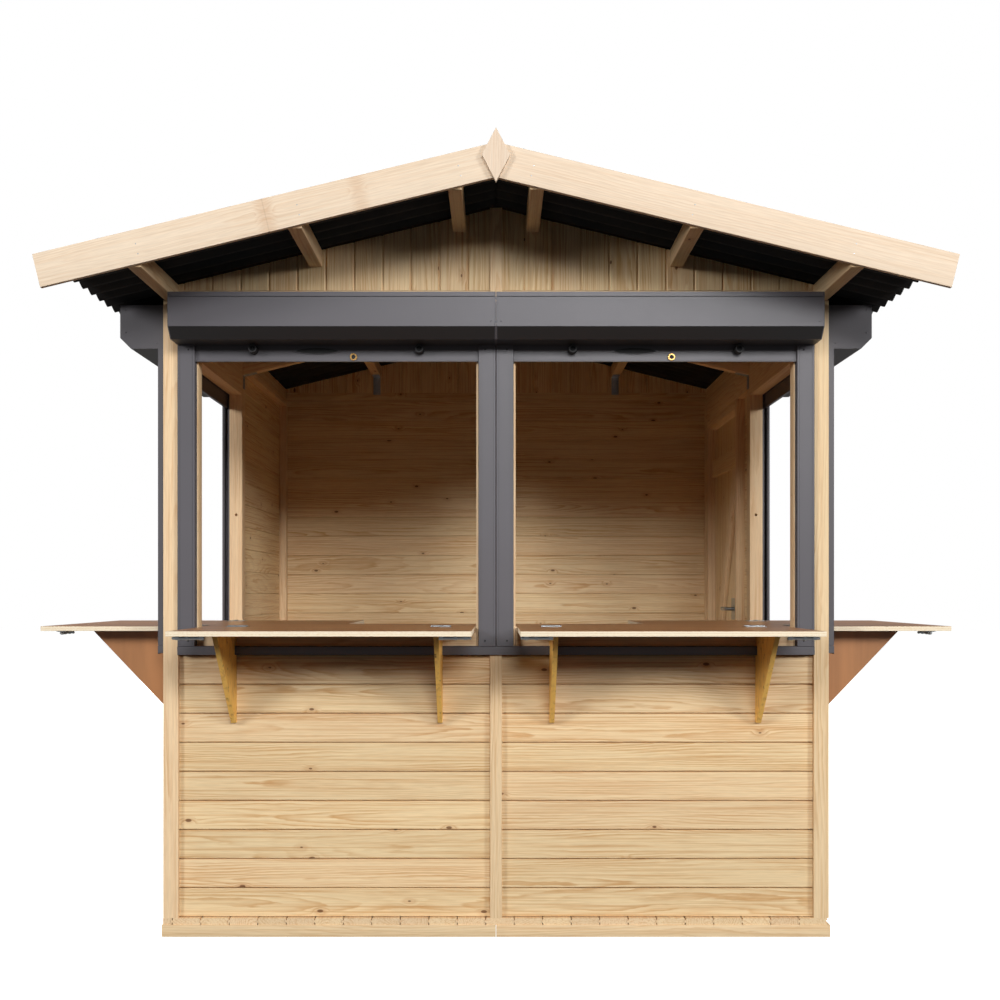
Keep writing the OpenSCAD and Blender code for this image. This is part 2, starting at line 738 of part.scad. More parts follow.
base_beams();
floor_joists();
floor();
front_wall();
left_wall_front();
left_wall_rear();
right_wall_front();
right_wall_by_door();
right_wall_over_door();
rear_wall();
front_gable();
rear_gable();
corner_posts();
middle_posts();
rear_corner_battens();
headers();
top_plates();
timber_sills();
corner_trims();
centre_battens();
sill_profiles();
shutter_boxes();
guide_rails();
end_slats();
slat_stops();
counter_front_left();
counter_front_right();
counter_left();
counter_right();
fittings_front_left();
fittings_front_right();
fittings_left();
fittings_right();
counter_hinges();
counter_brackets();
worktops();
worktop_supports();
door();
door_ledges();
door_straps();
door_lock();
door_frame();
door_hinge_pins();
purlins();
rafters();
roof_left();
roof_right();
ridge_cap();
bargeboards();
diamonds();
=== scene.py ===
"""A boarded wooden market stall: its boards, timbers, shutters, counters, door and roof.

Every piece is worked out from the boxes of the frame's own parts, in metres, with +X to the
stall's right-hand side, +Y to the back and +Z up.
"""

import math

import bpy
import numpy as np
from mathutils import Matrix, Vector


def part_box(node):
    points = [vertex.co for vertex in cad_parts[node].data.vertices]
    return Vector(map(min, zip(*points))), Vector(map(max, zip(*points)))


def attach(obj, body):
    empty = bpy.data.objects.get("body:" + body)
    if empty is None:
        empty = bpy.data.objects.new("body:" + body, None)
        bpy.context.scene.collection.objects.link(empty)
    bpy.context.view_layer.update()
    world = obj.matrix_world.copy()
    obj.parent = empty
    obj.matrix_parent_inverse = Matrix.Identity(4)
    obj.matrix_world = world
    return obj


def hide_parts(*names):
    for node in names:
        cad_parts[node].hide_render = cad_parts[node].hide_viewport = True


bl_info = {
    "name": "Wooden Market Stall",
    "version": (1, 0, 0),
    "blender": (4, 5, 0),
    "location": "View3D > Sidebar > Stall",
    "description": "Boards, timbers, shutters, counters, door and roof of a wooden market stall",
    "category": "Add Mesh",
}

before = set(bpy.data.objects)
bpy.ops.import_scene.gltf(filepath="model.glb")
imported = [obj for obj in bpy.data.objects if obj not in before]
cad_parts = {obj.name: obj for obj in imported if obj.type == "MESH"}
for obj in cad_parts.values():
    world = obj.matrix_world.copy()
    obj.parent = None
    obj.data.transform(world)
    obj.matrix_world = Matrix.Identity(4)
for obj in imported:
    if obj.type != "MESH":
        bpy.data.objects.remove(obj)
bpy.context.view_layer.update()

X, Y, Z = np.eye(3)
FIT = 0.0005                     # joint gap between seated pieces
EASE = 0.0025                    # rounding of a planed timber's edges
SHARP = math.radians(20)         # an edge that turns further than this is drawn sharp
TRUNK = (0.025, 0.11)            # how near and how far a member lies from its trunk's heart


# ---- measures taken from the frame ----


def span(node):
    """The lowest and the highest corner of a node."""
    return (np.array(corner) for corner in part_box(node))


def solids(node):
    """The boxes of a node's separate solids. Points at one place are one point, and the lowest
    number among the corners of each triangle spreads until every solid has one number."""
    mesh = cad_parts[node].data
    points = np.empty(len(mesh.vertices) * 3)
    mesh.vertices.foreach_get("co", points)
    points = points.reshape(-1, 3)
    corners = np.empty(len(mesh.loops), int)
    mesh.loops.foreach_get("vertex_index", corners)
    place = np.unique(np.round(points, 5), axis=0, return_inverse=True)[1].ravel()
    triangles = place[corners].reshape(-1, 3)
    label = np.arange(place.max() + 1)
    while True:
        spread = label.copy()
        np.minimum.at(spread, triangles.ravel(), np.repeat(label[triangles].min(1), 3))
        spread = spread[spread]
        if (spread == label).all():
            break
        label = spread
    owner = label[place]
    boxes = [(points[owner == i].min(0), points[owner == i].max(0)) for i in np.unique(owner)]
    return sorted(boxes, key=lambda box: tuple(np.round(box[0] + box[1], 4)))


HALF_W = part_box("floor")[1].x
FRONT_PLANE = -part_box("front_wall")[0].y
LOW_WALL_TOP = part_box("front_wall")[1].z
BOARD_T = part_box("front_wall")[1].y + FRONT_PLANE

PURLINS = [box for box in solids("purlins") if box[0][0] > 0]
PITCH = (PURLINS[0][0][2] - PURLINS[-1][0][2]) / (PURLINS[-1][0][0] - PURLINS[0][0][0])
RIDGE_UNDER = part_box("front_gable")[1].z + FIT      # underside of the sheets at the ridge
SLOPE = math.hypot(1, PITCH)
RISE = np.array([PITCH, 0, 1]) / SLOPE              # square to the right-hand slope
DOWN = np.array([1, 0, -PITCH]) / SLOPE             # along the right-hand slope
QUARTERS = [(end, side) for end in (-1, 1) for side in (-1, 1)]

# The four serving openings: their own x along the wall from the middle, y outwards and z up
UNITS = {
    "front_left": (np.array([-X, -Y, Z]), np.array([0, -FRONT_PLANE, 0])),
    "front_right": (np.array([X, -Y, Z]), np.array([0, -FRONT_PLANE, 0])),
    "left": (np.array([-Y, -X, Z]), np.array([-HALF_W, 0, 0])),
    "right": (np.array([-Y, X, Z]), np.array([HALF_W, 0, 0])),
}


def of_unit(node, unit):
    """The boxes of those solids of a node that belong to one opening, in its own axes."""
    axes, origin = UNITS[unit]
    found = []
    for box in solids(node):
        ends = (np.array(box) - origin) @ axes.T
        low, high = ends.min(0), ends.max(0)
        middle = (low + high) / 2
        # on this half of the wall, short of its corner, and from just inside it to the counter's tip
        if 0 < middle[0] < HALF_W - 0.03 and -0.2 < middle[1] < 0.5:
            found.append((low, high))
    return found


def roof_under(x):
    """Height of the sheets' underside at a distance from the middle."""
    return RIDGE_UNDER - PITCH * abs(x)


# ---- gathering and building a piece ----


class Stock:
    """The faces of one piece as they are made, with the grain place and the tone of each point."""

    def __init__(self, seed):
        self.rng = np.random.default_rng(seed)
        self.points, self.grain, self.tone, self.faces, self.finish = [], [], [], [], []
        self.count = 0
        self.stand()

    def stand(self, axes=np.eye(3), origin=(0, 0, 0)):
        """What is added from here on is placed by these axes, its own x, y and z, from the origin."""
        self.axes, self.origin = np.array(axes, float), np.array(origin, float)

    def stand_in(self, axes, origin, low, high, mirrored):
        """What is added from here on starts in a box's low corner or, mirrored, in its far one."""
        corner = np.array([high[0], low[1], low[2]]) if mirrored else low
        self.stand([-axes[0] if mirrored else axes[0], axes[1], axes[2]], origin + corner @ axes)

    def add(self, points, faces, finish=0, grain=None):
        """Adds points (n, 3) and arrays of faces, each with a finish number or all with one."""
        points = np.asarray(points, float).reshape(-1, 3)
        self.points.append(points @ self.axes + self.origin)
        self.grain.append(points if grain is None else np.asarray(grain).reshape(-1, 3))
        self.tone.append(np.full(len(points), self.rng.random()))
        turned = np.linalg.det(self.axes) < 0
        for i, face in enumerate(faces):
            self.faces.append((face[:, ::-1] if turned else face) + self.count)
            self.finish.append(np.full(len(face), finish if np.isscalar(finish) else finish[i]))
        self.count += len(points)

    def build(self, node, kind, slot, *finishes, body="hut", edge=0.0):
        """Makes the object that takes a node's place. edge is the bevel of its sharp edges."""
        name = node + "_" + kind
        points = np.concatenate(self.points)
        sizes = np.concatenate([np.full(len(f), f.shape[1]) for f in self.faces])
        corners = np.concatenate([f.ravel() for f in self.faces])
        mesh = bpy.data.meshes.new(name)
        mesh.vertices.add(len(points))
        mesh.vertices.foreach_set("co", points.ravel())
        mesh.loops.add(len(corners))
        mesh.loops.foreach_set("vertex_index", corners)
        mesh.polygons.add(len(sizes))
        mesh.polygons.foreach_set("loop_start", np.cumsum(sizes) - sizes)
        mesh.polygons.foreach_set("material_index", np.concatenate(self.finish))
        mesh.polygons.foreach_set("use_smooth", np.ones(len(sizes), bool))
        mesh.update(calc_edges=True)
        mesh.set_sharp_from_angle(angle=SHARP)
        grain = mesh.attributes.new("grain", "FLOAT_VECTOR", "POINT")
        grain.data.foreach_set("vector", np.concatenate(self.grain).ravel())
        tone = mesh.attributes.new("tone", "FLOAT", "POINT")
        tone.data.foreach_set("value", np.concatenate(self.tone))
        for maker in finishes:
            mesh.materials.append(finish_of(maker))
        piece = bpy.data.objects.new(name, mesh)
        bpy.context.scene.collection.objects.link(piece)
        if edge:
            bevel = piece.modifiers.new("edge", "BEVEL")
            bevel.width, bevel.segments, bevel.limit_method = edge, 2, "ANGLE"
            bevel.angle_limit = math.radians(40)
            bevel.harden_normals = True
        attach(piece, body)
        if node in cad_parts:
            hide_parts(node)
        return piece


def dress(maker, *nodes):
    """Gives nodes whose own shape is right a better finish."""
    for node in nodes:
        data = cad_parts[node].data
        data.materials.clear()
        data.materials.append(finish_of(maker))


# ---- shapes ----


def skin(rings):
    """Rings of points (m, n, 3) joined by quads, with the first and the last ring filled. The
    rings turn counter-clockwise about the way they advance, so the faces look outwards."""
    m, n = rings.shape[:2]
    i = np.arange(m - 1)[:, None] * n
    j = np.arange(n)[None]
    k = (j + 1) % n
    sides = np.stack([i + j, i + k, i + k + n, i + j + n], -1).reshape(-1, 4)
    ends = np.arange(n)[None]
    return rings.reshape(-1, 3), [sides, ends[:, ::-1], ends + (m - 1) * n]


def shell(stock, top, low):
    """A closed sheet between two grids of points (m, n, 3), with its four edges filled. The top
    looks along the first grid direction crossed with the second."""
    m, n = top.shape[:2]
    ids = np.arange(m * n).reshape(m, n)
    quads = np.stack([ids[:-1, :-1], ids[1:, :-1], ids[1:, 1:], ids[:-1, 1:]], -1).reshape(-1, 4)
    rim = np.concatenate([ids[0, :-1], ids[:-1, -1], ids[-1, :0:-1], ids[:0:-1, 0]])
    after = np.roll(rim, -1)
    edge = np.stack([rim, after, after + m * n, rim + m * n], -1)
    points = np.concatenate([top.reshape(-1, 3), low.reshape(-1, 3)])
    stock.add(points, [quads, quads[:, ::-1] + m * n, edge])


def eased(corners, ease=EASE):
    """An outline with its corners rounded: each becomes the two points one ease along its edges
    and the middle of the parabola between them."""
    corners = np.asarray(corners, float)
    back = np.roll(corners, 1, 0) - corners
    ahead = np.roll(corners, -1, 0) - corners
    a = corners + ease * back / np.linalg.norm(back, axis=1, keepdims=True)
    b = corners + ease * ahead / np.linalg.norm(ahead, axis=1, keepdims=True)
    return np.stack([a, (a + 2 * corners + b) / 4, b], 1).reshape(-1, 2)


def oblong(width, height, ease=EASE):
    """An eased rectangle from the origin."""
    return eased([(0, 0), (width, 0), (width, height), (0, height)], ease)


def clipped(outline, low, high):
    """An outline pressed between two values of its first coordinate, without doubled points."""
    outline = np.column_stack([np.clip(outline[:, 0], low, high), outline[:, 1]])
    return outline[np.abs(outline - np.roll(outline, 1, 0)).sum(1) > 1e-6]


def drilled(rings, ring, side, middle, radius, depth, first):
    """One side of a member between two rings, with a round blind hole. The side's four corners
    are joined to a circle of 16 points, whose copy one depth further in is the bottom."""
    n = rings.shape[1]
    after, count = (side + 1) % n, 16
    corners = np.array([side, after, n + after, n + side]) + ring * n
    a, b, _, d = rings.reshape(-1, 3)[corners]
    e1, e2 = (b - a) / np.linalg.norm(b - a), (d - a) / np.linalg.norm(d - a)
    turn = np.arange(count) * math.tau / count - 0.75 * math.pi
    circle = middle + radius * (np.cos(turn)[:, None] * e1 + np.sin(turn)[:, None] * e2)
    points = np.concatenate([circle, circle - depth * np.cross(e1, e2)])
    i = np.arange(count)
    k = (i + 1) % count
    q = np.arange(4)
    arc = first + (4 * q[:, None] + np.array([4, 3, 2, 1, 0])) % count
    land = np.concatenate([corners[q][:, None], corners[(q + 1) % 4][:, None], arc], 1)
    wall = first + np.stack([i, k, k + count, i + count], -1)
    return points, [land, wall, first + count + i[None]]


def bar(stock, outline, origin, u, v, length, start=(0, 0), end=(0, 0), fibre=2, finish=0, hole=None):
    """A straight member: an outline in u and v, counter-clockwise, carried along u crossed with v.
    start and end are the slopes of its two cuts over u and v. The grain place of a point is where
    it lies in a trunk whose heart runs along the fibre axis, at a random place beside the member.
    hole is the side that is drilled, the hole's place along it and across it, radius and depth."""
    outline = np.asarray(outline, float)
    w = np.cross(u, v)
    along = [outline @ start, length + outline @ end]
    if hole:
        side, at, across, radius, depth = hole
        along[1:1] = [np.full(len(outline), at - 3 * radius), np.full(len(outline), at + 3 * radius)]
    along = np.array(along)
    local = np.stack([np.broadcast_to(outline[:, 0], along.shape),
                      np.broadcast_to(outline[:, 1], along.shape), along], -1)
    rings = origin + local @ np.array([u, v, w])
    points, faces = skin(rings)
    if hole:
        a, b = outline[side], outline[(side + 1) % len(outline)]
        ahead = (b - a) / np.linalg.norm(b - a)
        spot = a + ahead * (across - a @ ahead)
        middle = origin + np.array([*spot, at]) @ np.array([u, v, w])
        more, extra = drilled(rings, 1, side, middle, radius, depth, len(points))
        faces[0] = np.delete(faces[0], len(outline) + side, 0)
        faces += extra
        points = np.concatenate([points, more])
        local = np.concatenate([local.reshape(-1, 3), (more - origin) @ np.array([u, v, w]).T])
        finish = finish if np.isscalar(finish) else [*finish, 0, 0, 0]
    local = np.roll(local.reshape(-1, 3), -fibre, 1)
    turn, away = stock.rng.uniform(0, math.tau), stock.rng.uniform(*TRUNK)
    heart = local[:, 1:].mean(0) + away * np.array([math.cos(turn), math.sin(turn)])
    stock.add(points, faces, finish, local - [stock.rng.uniform(-40, 0), *heart])


def timber(stock, low, high, axis=None, ease=EASE, **more):
    """A squared timber that fills a box, with its length along the box's longest side."""
    low, high = np.array(low, float), np.array(high, float)
    size = high - low
    axis = int(np.argmax(size)) if axis is None else axis
    a, b = (axis + 1) % 3, (axis + 2) % 3
    bar(stock, oblong(size[a], size[b], ease), low, np.eye(3)[a], np.eye(3)[b], size[axis], **more)


def along_x(stock, outline, x0, x1, **more):
    """A member with its outline in y and z, from one x to another."""
    bar(stock, outline, np.array([x0, 0, 0]), Y, Z, x1 - x0, **more)


def along_y(stock, outline, y0, y1, **more):
    """A member with its outline in x and z, from one y to another."""
    bar(stock, outline, np.array([0, y1, 0]), X, Z, y1 - y0, **more)


def turned(stock, outline, middle, axis, sides=16, finish=0):
    """A turned shape: radii and heights carried round an axis."""
    axis = np.asarray(axis, float)
    u = np.cross(axis, Z if abs(axis[2]) < 0.9 else X)
    u /= np.linalg.norm(u)
    v = np.cross(axis, u)
    turn = np.arange(sides) * math.tau / sides
    circle = np.cos(turn)[:, None] * u + np.sin(turn)[:, None] * v
    outline = np.asarray(outline, float)
    rings = middle + outline[:, :1, None] * circle + outline[:, 1:, None] * axis
    stock.add(*skin(rings), finish)


def screws(stock, places, out, radius=0.004, finish=0):
    """Low domed screw heads with a sunk middle at each place, all facing the same way."""
    dome = radius * np.array([[1, -0.3], [1, 0.12], [0.72, 0.42], [0.36, 0.5], [0.3, 0.16]])
    for place in places:
        turned(stock, dome, np.asarray(place), out, 8, finish)


# ---- board sections, thickness outwards ----


def siding(cover):
    """Drop siding: the lip of each board hangs outside the tongue of the one below, over a narrow
    slot that shows as a dark line."""
    t, tongue, lap, step, bevel = BOARD_T, 0.008, 0.007, 0.0085, 0.0025
    return np.array([
        (tongue + bevel, 0), (cover + lap - bevel, 0), (cover + lap, bevel), (cover + lap, tongue),
        (cover - 0.0042, tongue), (cover - 0.005, t - 0.0015), (cover - 0.0065, t),
        (0.0008, t), (0, t - 0.0008), (0, step), (tongue, step), (tongue, bevel),
    ])


def matched(cover, thick, bevel=0.003, gap=0.0016):
    """Tongued and grooved: a tongue on the far edge, a groove on the near one, and bevelled faces."""
    g, tongue, groove = gap / 2, 0.0055, 0.0065
    low, high = thick / 3, thick * 2 / 3
    far, near = cover - g, g + bevel
    return np.array([
        (near, 0), (far - bevel, 0), (far, bevel), (far, low), (cover + tongue, low), (cover + tongue, high),
        (far, high), (far, thick - bevel), (far - bevel, thick), (near, thick), (g, thick - bevel),
        (g, high + FIT), (groove, high + FIT), (groove, low - FIT), (g, low - FIT), (g, bevel),
    ])


def boards(stock, low, high, up, out, outline, cover, first, cut=None):
    """Fills a panel's box with boards that follow each other along up and face out. The joints lie
    at whole covers from first. cut gives a board's length and end slope from its middle."""
    run = np.cross(up, out)
    origin = np.where(up + out + run > 0, low, high)
    size = np.array([abs((high - low) @ way) for way in (up, out, run)])
    base = origin @ up
    sliver, narrowest = 0.004, 0.012          # what is left of a board under these is not fitted
    numbers = np.arange(math.floor((base - first) / cover), math.ceil((base + size[0] - first) / cover))
    edges = first + cover * numbers
    for edge in edges[edges < base + size[0] - sliver]:
        shape = clipped(outline + [edge - base, 0], 0, size[0])
        if np.ptp(shape[:, 0]) < narrowest:
            continue
        length, slope = cut(base + shape[:, 0].mean()) if cut else (size[2], 0)
        bar(stock, shape, origin, up, out, length, end=(slope, 0))


# ---- materials ----


def linear(colour):
    """An sRGB hex colour as linear red, green, blue and alpha."""
    value = np.array([int(colour[i:i + 2], 16) for i in (1, 3, 5)]) / 255
    value = np.where(value <= 0.04045, value / 12.92, ((value + 0.055) / 1.055) ** 2.4)
    return (*value, 1.0)


def add(tree, kind, links=None, **settings):
    """Adds a node, sets its properties, and sets or links its inputs."""
    node = tree.nodes.new(kind)
    for key, value in settings.items():
        setattr(node, key, value)
    for key, value in (links or {}).items():
        if isinstance(value, bpy.types.NodeSocket):
            tree.links.new(value, node.inputs[key])
        else:
            node.inputs[key].default_value = value
    return node


def begin(name, **sockets):
    """A new material with only its shader, whose sockets are set."""
    material = bpy.data.materials.new(name)
    material.use_nodes = True
    tree = material.node_tree
    tree.nodes.clear()
    shader = add(tree, "ShaderNodeBsdfPrincipled", {k.replace("_", " "): v for k, v in sockets.items()})
    add(tree, "ShaderNodeOutputMaterial", {"Surface": shader.outputs[0]})
    return material, tree, shader


def finish_of(maker):
    """The material that a maker makes, made once."""
    return bpy.data.materials.get(maker.__name__) or maker(maker.__name__)


def spread(tree, value, low, high, to_low=0.0, to_high=1.0):
    """A value's range mapped smoothly to another."""
    links = {"Value": value, "From Min": low, "From Max": high, "To Min": to_low, "To Max": to_high}
    return add(tree, "ShaderNodeMapRange", links, interpolation_type="SMOOTHSTEP").outputs[0]


def times(tree, a, b, operation="MULTIPLY", c=0.0):
    """Two values, or three, joined by one operation."""
    return add(tree, "ShaderNodeMath", {0: a, 1: b, 2: c}, operation=operation).outputs[0]


def blend_colour(tree, factor, a, b, mode="MIX"):
    """Two colours mixed by a factor."""
    mix = add(tree, "ShaderNodeMix", {0: factor, 6: a, 7: b}, data_type="RGBA", blend_type=mode)
    return mix.outputs[2]


def bump(tree, shader, height, distance, strength=1.0):
    """A height drawn as a bump, its distance in metres."""
    links = {"Height": height, "Distance": distance, "Strength": strength}
    tree.links.new(add(tree, "ShaderNodeBump", links).outputs[0], shader.inputs["Normal"])


def noise(tree, place, scale, detail=2.0):
    """A noise over a place."""
    return add(tree, "ShaderNodeTexNoise", {"Vector": place, "Scale": scale, "Detail": detail}).outputs[0]


def stretched(tree, place, scale):
    """A place scaled along its three axes."""
    return add(tree, "ShaderNodeMapping", {"Vector": place, "Scale": scale}).outputs[0]


def object_place(tree):
    """Where a point lies on its piece."""
    return add(tree, "ShaderNodeTexCoord").outputs["Object"]


def grain_place(tree):
    """Where a point lies in the wood that its member was cut from."""
    return add(tree, "ShaderNodeAttribute", attribute_name="grain").outputs["Vector"]


def shade(colour, factor):
    """A linear colour with more or less light."""
    return tuple(min(1, factor * part) for part in colour[:3]) + (1.0,)


def tint(tree, shader, factor, a, b):
    """The base colour, between two linear colours."""
    tree.links.new(blend_colour(tree, factor, a, b), shader.inputs["Base Color"])


def sheen(tree, shader, value, low, high):
    """The roughness, between two values over the middle of a noise's range."""
    tree.links.new(spread(tree, value, 0.3, 0.7, low, high), shader.inputs["Roughness"])


def softwood(name, pale, late, knots=0.5, contrast=1.0):
    """Sawn and planed softwood: growth rings round a trunk's heart, cut by the board's faces, so
    that flat sides show flames and edges show lines, with a few knots that the rings flow round."""
    material, tree, shader = begin(name, Roughness=0.6, IOR=1.5, Specular_IOR_Level=0.25)
    grain = grain_place(tree)
    tone = add(tree, "ShaderNodeAttribute", attribute_name="tone").outputs["Fac"]

    def streaks(along, across, detail=2.0):
        """Noise with cells of one length along the fibre and another across it, in metres."""
        return noise(tree, stretched(tree, grain, (1 / along, 1 / across, 1 / across)), 1.0, detail)

    # knots: at most one in each cell, 10 to 25 mm long and half as wide
    cell = 0.26
    flat = stretched(tree, grain, (0.8 / cell, 1.6 / cell, 0))
    spots = add(tree, "ShaderNodeTexVoronoi", {"Vector": flat, "Scale": 1.0}, voronoi_dimensions="2D")
    luck = add(tree, "ShaderNodeSeparateColor", {0: spots.outputs["Color"]})
    kept = times(tree, luck.outputs[0], 1 - knots, "GREATER_THAN")
    near = times(tree, spots.outputs["Distance"], cell)
    size = times(tree, luck.outputs[1], 0.006, "MULTIPLY_ADD", 0.004)
    core = times(tree, spread(tree, times(tree, near, size, "DIVIDE"), 1.2, 0.8), kept)
    halo = times(tree, spread(tree, near, 0.035, 0.006), kept)

    # rings drawn wider than real ones, which are 2 to 4 mm apart, wandering slowly along the fibre
    ring_gap = 0.009
    across = add(tree, "ShaderNodeVectorMath", {0: grain, 1: (0, 1, 1)}, operation="MULTIPLY").outputs[0]
    away = add(tree, "ShaderNodeVectorMath", {0: across}, operation="LENGTH").outputs["Value"]
    wander = times(tree, streaks(1.1, 0.12, 1.0), 11.0)
    wobble = times(tree, streaks(0.1, 0.015), 0.9, "MULTIPLY_ADD", wander)
    ring = times(tree, away, 1 / ring_gap, "MULTIPLY_ADD", times(tree, halo, 1.2, "MULTIPLY_ADD", wobble))
    part = times(tree, ring, 0, "FRACT")
    lateness = times(tree, times(tree, part, 2.2, "POWER"), spread(tree, part, 1.0, 0.8))
    patch = spread(tree, streaks(0.6, 0.05), 0.35, 0.65, 0.12, contrast)
    fibre = streaks(0.06, 0.003, 1.0)

    colour = blend_colour(tree, times(tree, lateness, patch), linear(pale), linear(late))
    flame = spread(tree, streaks(0.6, 0.007, 2.0), 0.42, 0.8, 0.0, 0.6 * contrast)
    colour = blend_colour(tree, flame, colour, linear(late))
    colour = blend_colour(tree, times(tree, halo, 0.25), colour, linear(late), "MULTIPLY")
    colour = blend_colour(tree, times(tree, core, 0.85), colour, linear(colours().knot))
    hue = spread(tree, times(tree, times(tree, tone, 7.3), 0, "FRACT"), 0, 1, 0.4985, 0.503)
    value = times(tree, spread(tree, tone, 0, 1, 0.95, 1.05), spread(tree, fibre, 0.2, 0.8, 0.94, 1.05))
    links = {"Hue": hue, "Saturation": 1.0, "Value": value, "Fac": 1.0, "Color": colour}
    colour = add(tree, "ShaderNodeHueSaturation", links).outputs[0]
    tree.links.new(colour, shader.inputs["Base Color"])
    tree.links.new(spread(tree, fibre, 0.2, 0.8, 0.5, 0.66), shader.inputs["Roughness"])
    bump(tree, shader, times(tree, lateness, 0.5, "MULTIPLY_ADD", fibre), 0.0003, 0.6)
    return material


def cladding_spruce(name):
    """Untreated spruce cladding, machine planed: honey coloured, silky, with soft flames."""
    return softwood(name, colours().board, colours().late_wood, 0.32)


def timber_spruce(name):
    """Untreated spruce timber, planed on four sides: even, straight grained and nearly knot free."""
    return softwood(name, colours().timber, colours().late_wood, 0.2, 0.6)


def pale_spruce(name):
    """Freshly planed spruce of the bargeboards: paler and pinker than the rest."""
    return softwood(name, colours().fascia, colours().late_fascia, 0.2, 0.5)


def black_profile(name):
    """The chamfered underside of the shutter housings, drawn near black as painted shade: satin, with a fine
    dry grain.
    """
    material, tree, shader = begin(name, Roughness=0.5, IOR=1.5)
    dust = noise(tree, object_place(tree), 400.0, 1.0)
    tint(tree, shader, dust, linear("#1b1a1b"), linear("#232223"))
    bump(tree, shader, dust, 0.00006)
    return material


def powder_coated_aluminium(name):
    """Extruded and roll-formed aluminium, powder coated: dark grey with a fine dry grain of about
    0.4 mm, drawn at 1.5 mm so that it shows."""
    material, tree, shader = begin(name, Roughness=0.42, IOR=1.5)
    place = object_place(tree)
    dust = noise(tree, place, 1 / 0.0015, 1.0)
    coat = linear(colours().aluminium)
    tint(tree, shader, noise(tree, place, 3.0), coat, shade(coat, 0.82))
    sheen(tree, shader, dust, 0.36, 0.5)
    bump(tree, shader, dust, 0.00006)
    return material


def phenolic_film(name):
    """The brown resin film hot-pressed on plywood: smooth, half glossy, faintly cloudy."""
    material, tree, shader = begin(name, Roughness=0.33, IOR=1.55)
    grain = grain_place(tree)
    cloud = noise(tree, stretched(tree, grain, (1.2, 14, 14)), 1.0, 4.0)
    film = linear(colours().film)
    tint(tree, shader, spread(tree, cloud, 0.3, 0.7), film, shade(film, 1.35))
    sheen(tree, shader, noise(tree, grain, 160.0), 0.28, 0.4)
    bump(tree, shader, cloud, 0.0002, 0.4)
    return material


def birch_edges(name):
    """The sawn edge of birch plywood: pale, with the end grain of every other ply darker. The
    plies are 1.4 mm thick and are drawn at 3 mm."""
    material, tree, shader = begin(name, Roughness=0.7, IOR=1.5)
    grain = grain_place(tree)
    ply_t = 0.003
    part = add(tree, "ShaderNodeSeparateXYZ", {0: grain})
    ply = times(tree, times(tree, part.outputs[2], 0.5 / ply_t), 0, "FRACT")
    fleck = noise(tree, grain, 220.0)
    dark = times(tree, spread(tree, ply, 0.45, 0.55), spread(tree, fleck, 0.3, 0.8, 0.25, 0.8))
    tint(tree, shader, dark, linear(colours().ply_edge), linear(colours().ply_dark))
    bump(tree, shader, fleck, 0.0003)
    return material


def raw_veneer(name):
    """The bare face of the bracket plywood: yellow, sanded, with dark knots and patches."""
    material, tree, shader = begin(name, Roughness=0.62, IOR=1.5)
    grain = grain_place(tree)
    figure = noise(tree, stretched(tree, grain, (18, 60, 60)), 1.0, 4.0)
    spots = add(tree, "ShaderNodeTexVoronoi", {"Vector": grain, "Scale": 34.0}).outputs["Distance"]
    streak = spread(tree, figure, 0.46, 0.86)
    wood = blend_colour(tree, streak, linear(colours().veneer), linear(colours().late_wood))
    mask = times(tree, spread(tree, spots, 0.26, 0.1), spread(tree, figure, 0.45, 0.65))
    tint(tree, shader, mask, wood, linear(colours().veneer_knot))
    bump(tree, shader, figure, 0.0004)
    return material


def plated_steel(name):
    """Pressed steel, zinc plated and passivated: bluish grey with a crystalline cloud."""
    material, tree, shader = begin(name, Metallic=1.0, Roughness=0.36)
    cloud = noise(tree, object_place(tree), 90.0, 3.0)
    zinc = linear(colours().zinc)
    tint(tree, shader, cloud, zinc, shade(zinc, 0.7))
    sheen(tree, shader, cloud, 0.28, 0.46)
    bump(tree, shader, cloud, 0.0001)
    return material


def turned_brass(name):
    """A turned brass lock ring: yellow metal, with fine tool marks as a change of sheen."""
    material, tree, shader = begin(name, Metallic=1.0, Roughness=0.3)
    mark = noise(tree, object_place(tree), 500.0)
    tint(tree, shader, mark, linear(colours().brass), linear("#94713f"))
    sheen(tree, shader, mark, 0.22, 0.4)
    return material


def moulded_rubber(name):
    """Moulded black rubber: dull, with a faint bloom."""
    material, tree, shader = begin(name, Roughness=0.75, IOR=1.5)
    bloom = noise(tree, object_place(tree), 120.0, 3.0)
    tint(tree, shader, bloom, linear("#161617"), linear("#2a2a2b"))
    bump(tree, shader, bloom, 0.0001)
    return material


def bitumen_fibre(name):
    """Corrugated sheet of bitumen-soaked fibre: black and dull, with a felted surface of 2 mm
    fibres and a slightly paler dust on it."""
    material, tree, shader = begin(name, Roughness=0.88, IOR=1.45)
    place = object_place(tree)
    dust = spread(tree, noise(tree, place, 7.0, 4.0), 0.35, 0.75)
    tint(tree, shader, dust, linear(colours().bitumen), linear(colours().bitumen_dust))
    bump(tree, shader, noise(tree, place, 1 / 0.002, 3.0), 0.0005)
    return material


def studio_floor(name):
    """A pale, matt painted studio floor with a barely visible roller texture."""
    material, tree, shader = begin(name, Roughness=0.85, Emission_Strength=1.12)
    nap = noise(tree, object_place(tree), 60.0)
    paint = blend_colour(tree, nap, linear("#f4f4f3"), linear("#efefee"))
    tree.links.new(paint, shader.inputs["Base Color"])
    tree.links.new(paint, shader.inputs["Emission Color"])
    return material


# ---- what a user would change ----


def colour_property(name, description, default):
    """A colour as an sRGB hex value."""
    return bpy.props.StringProperty(name=name, description=description, default=default, maxlen=7)


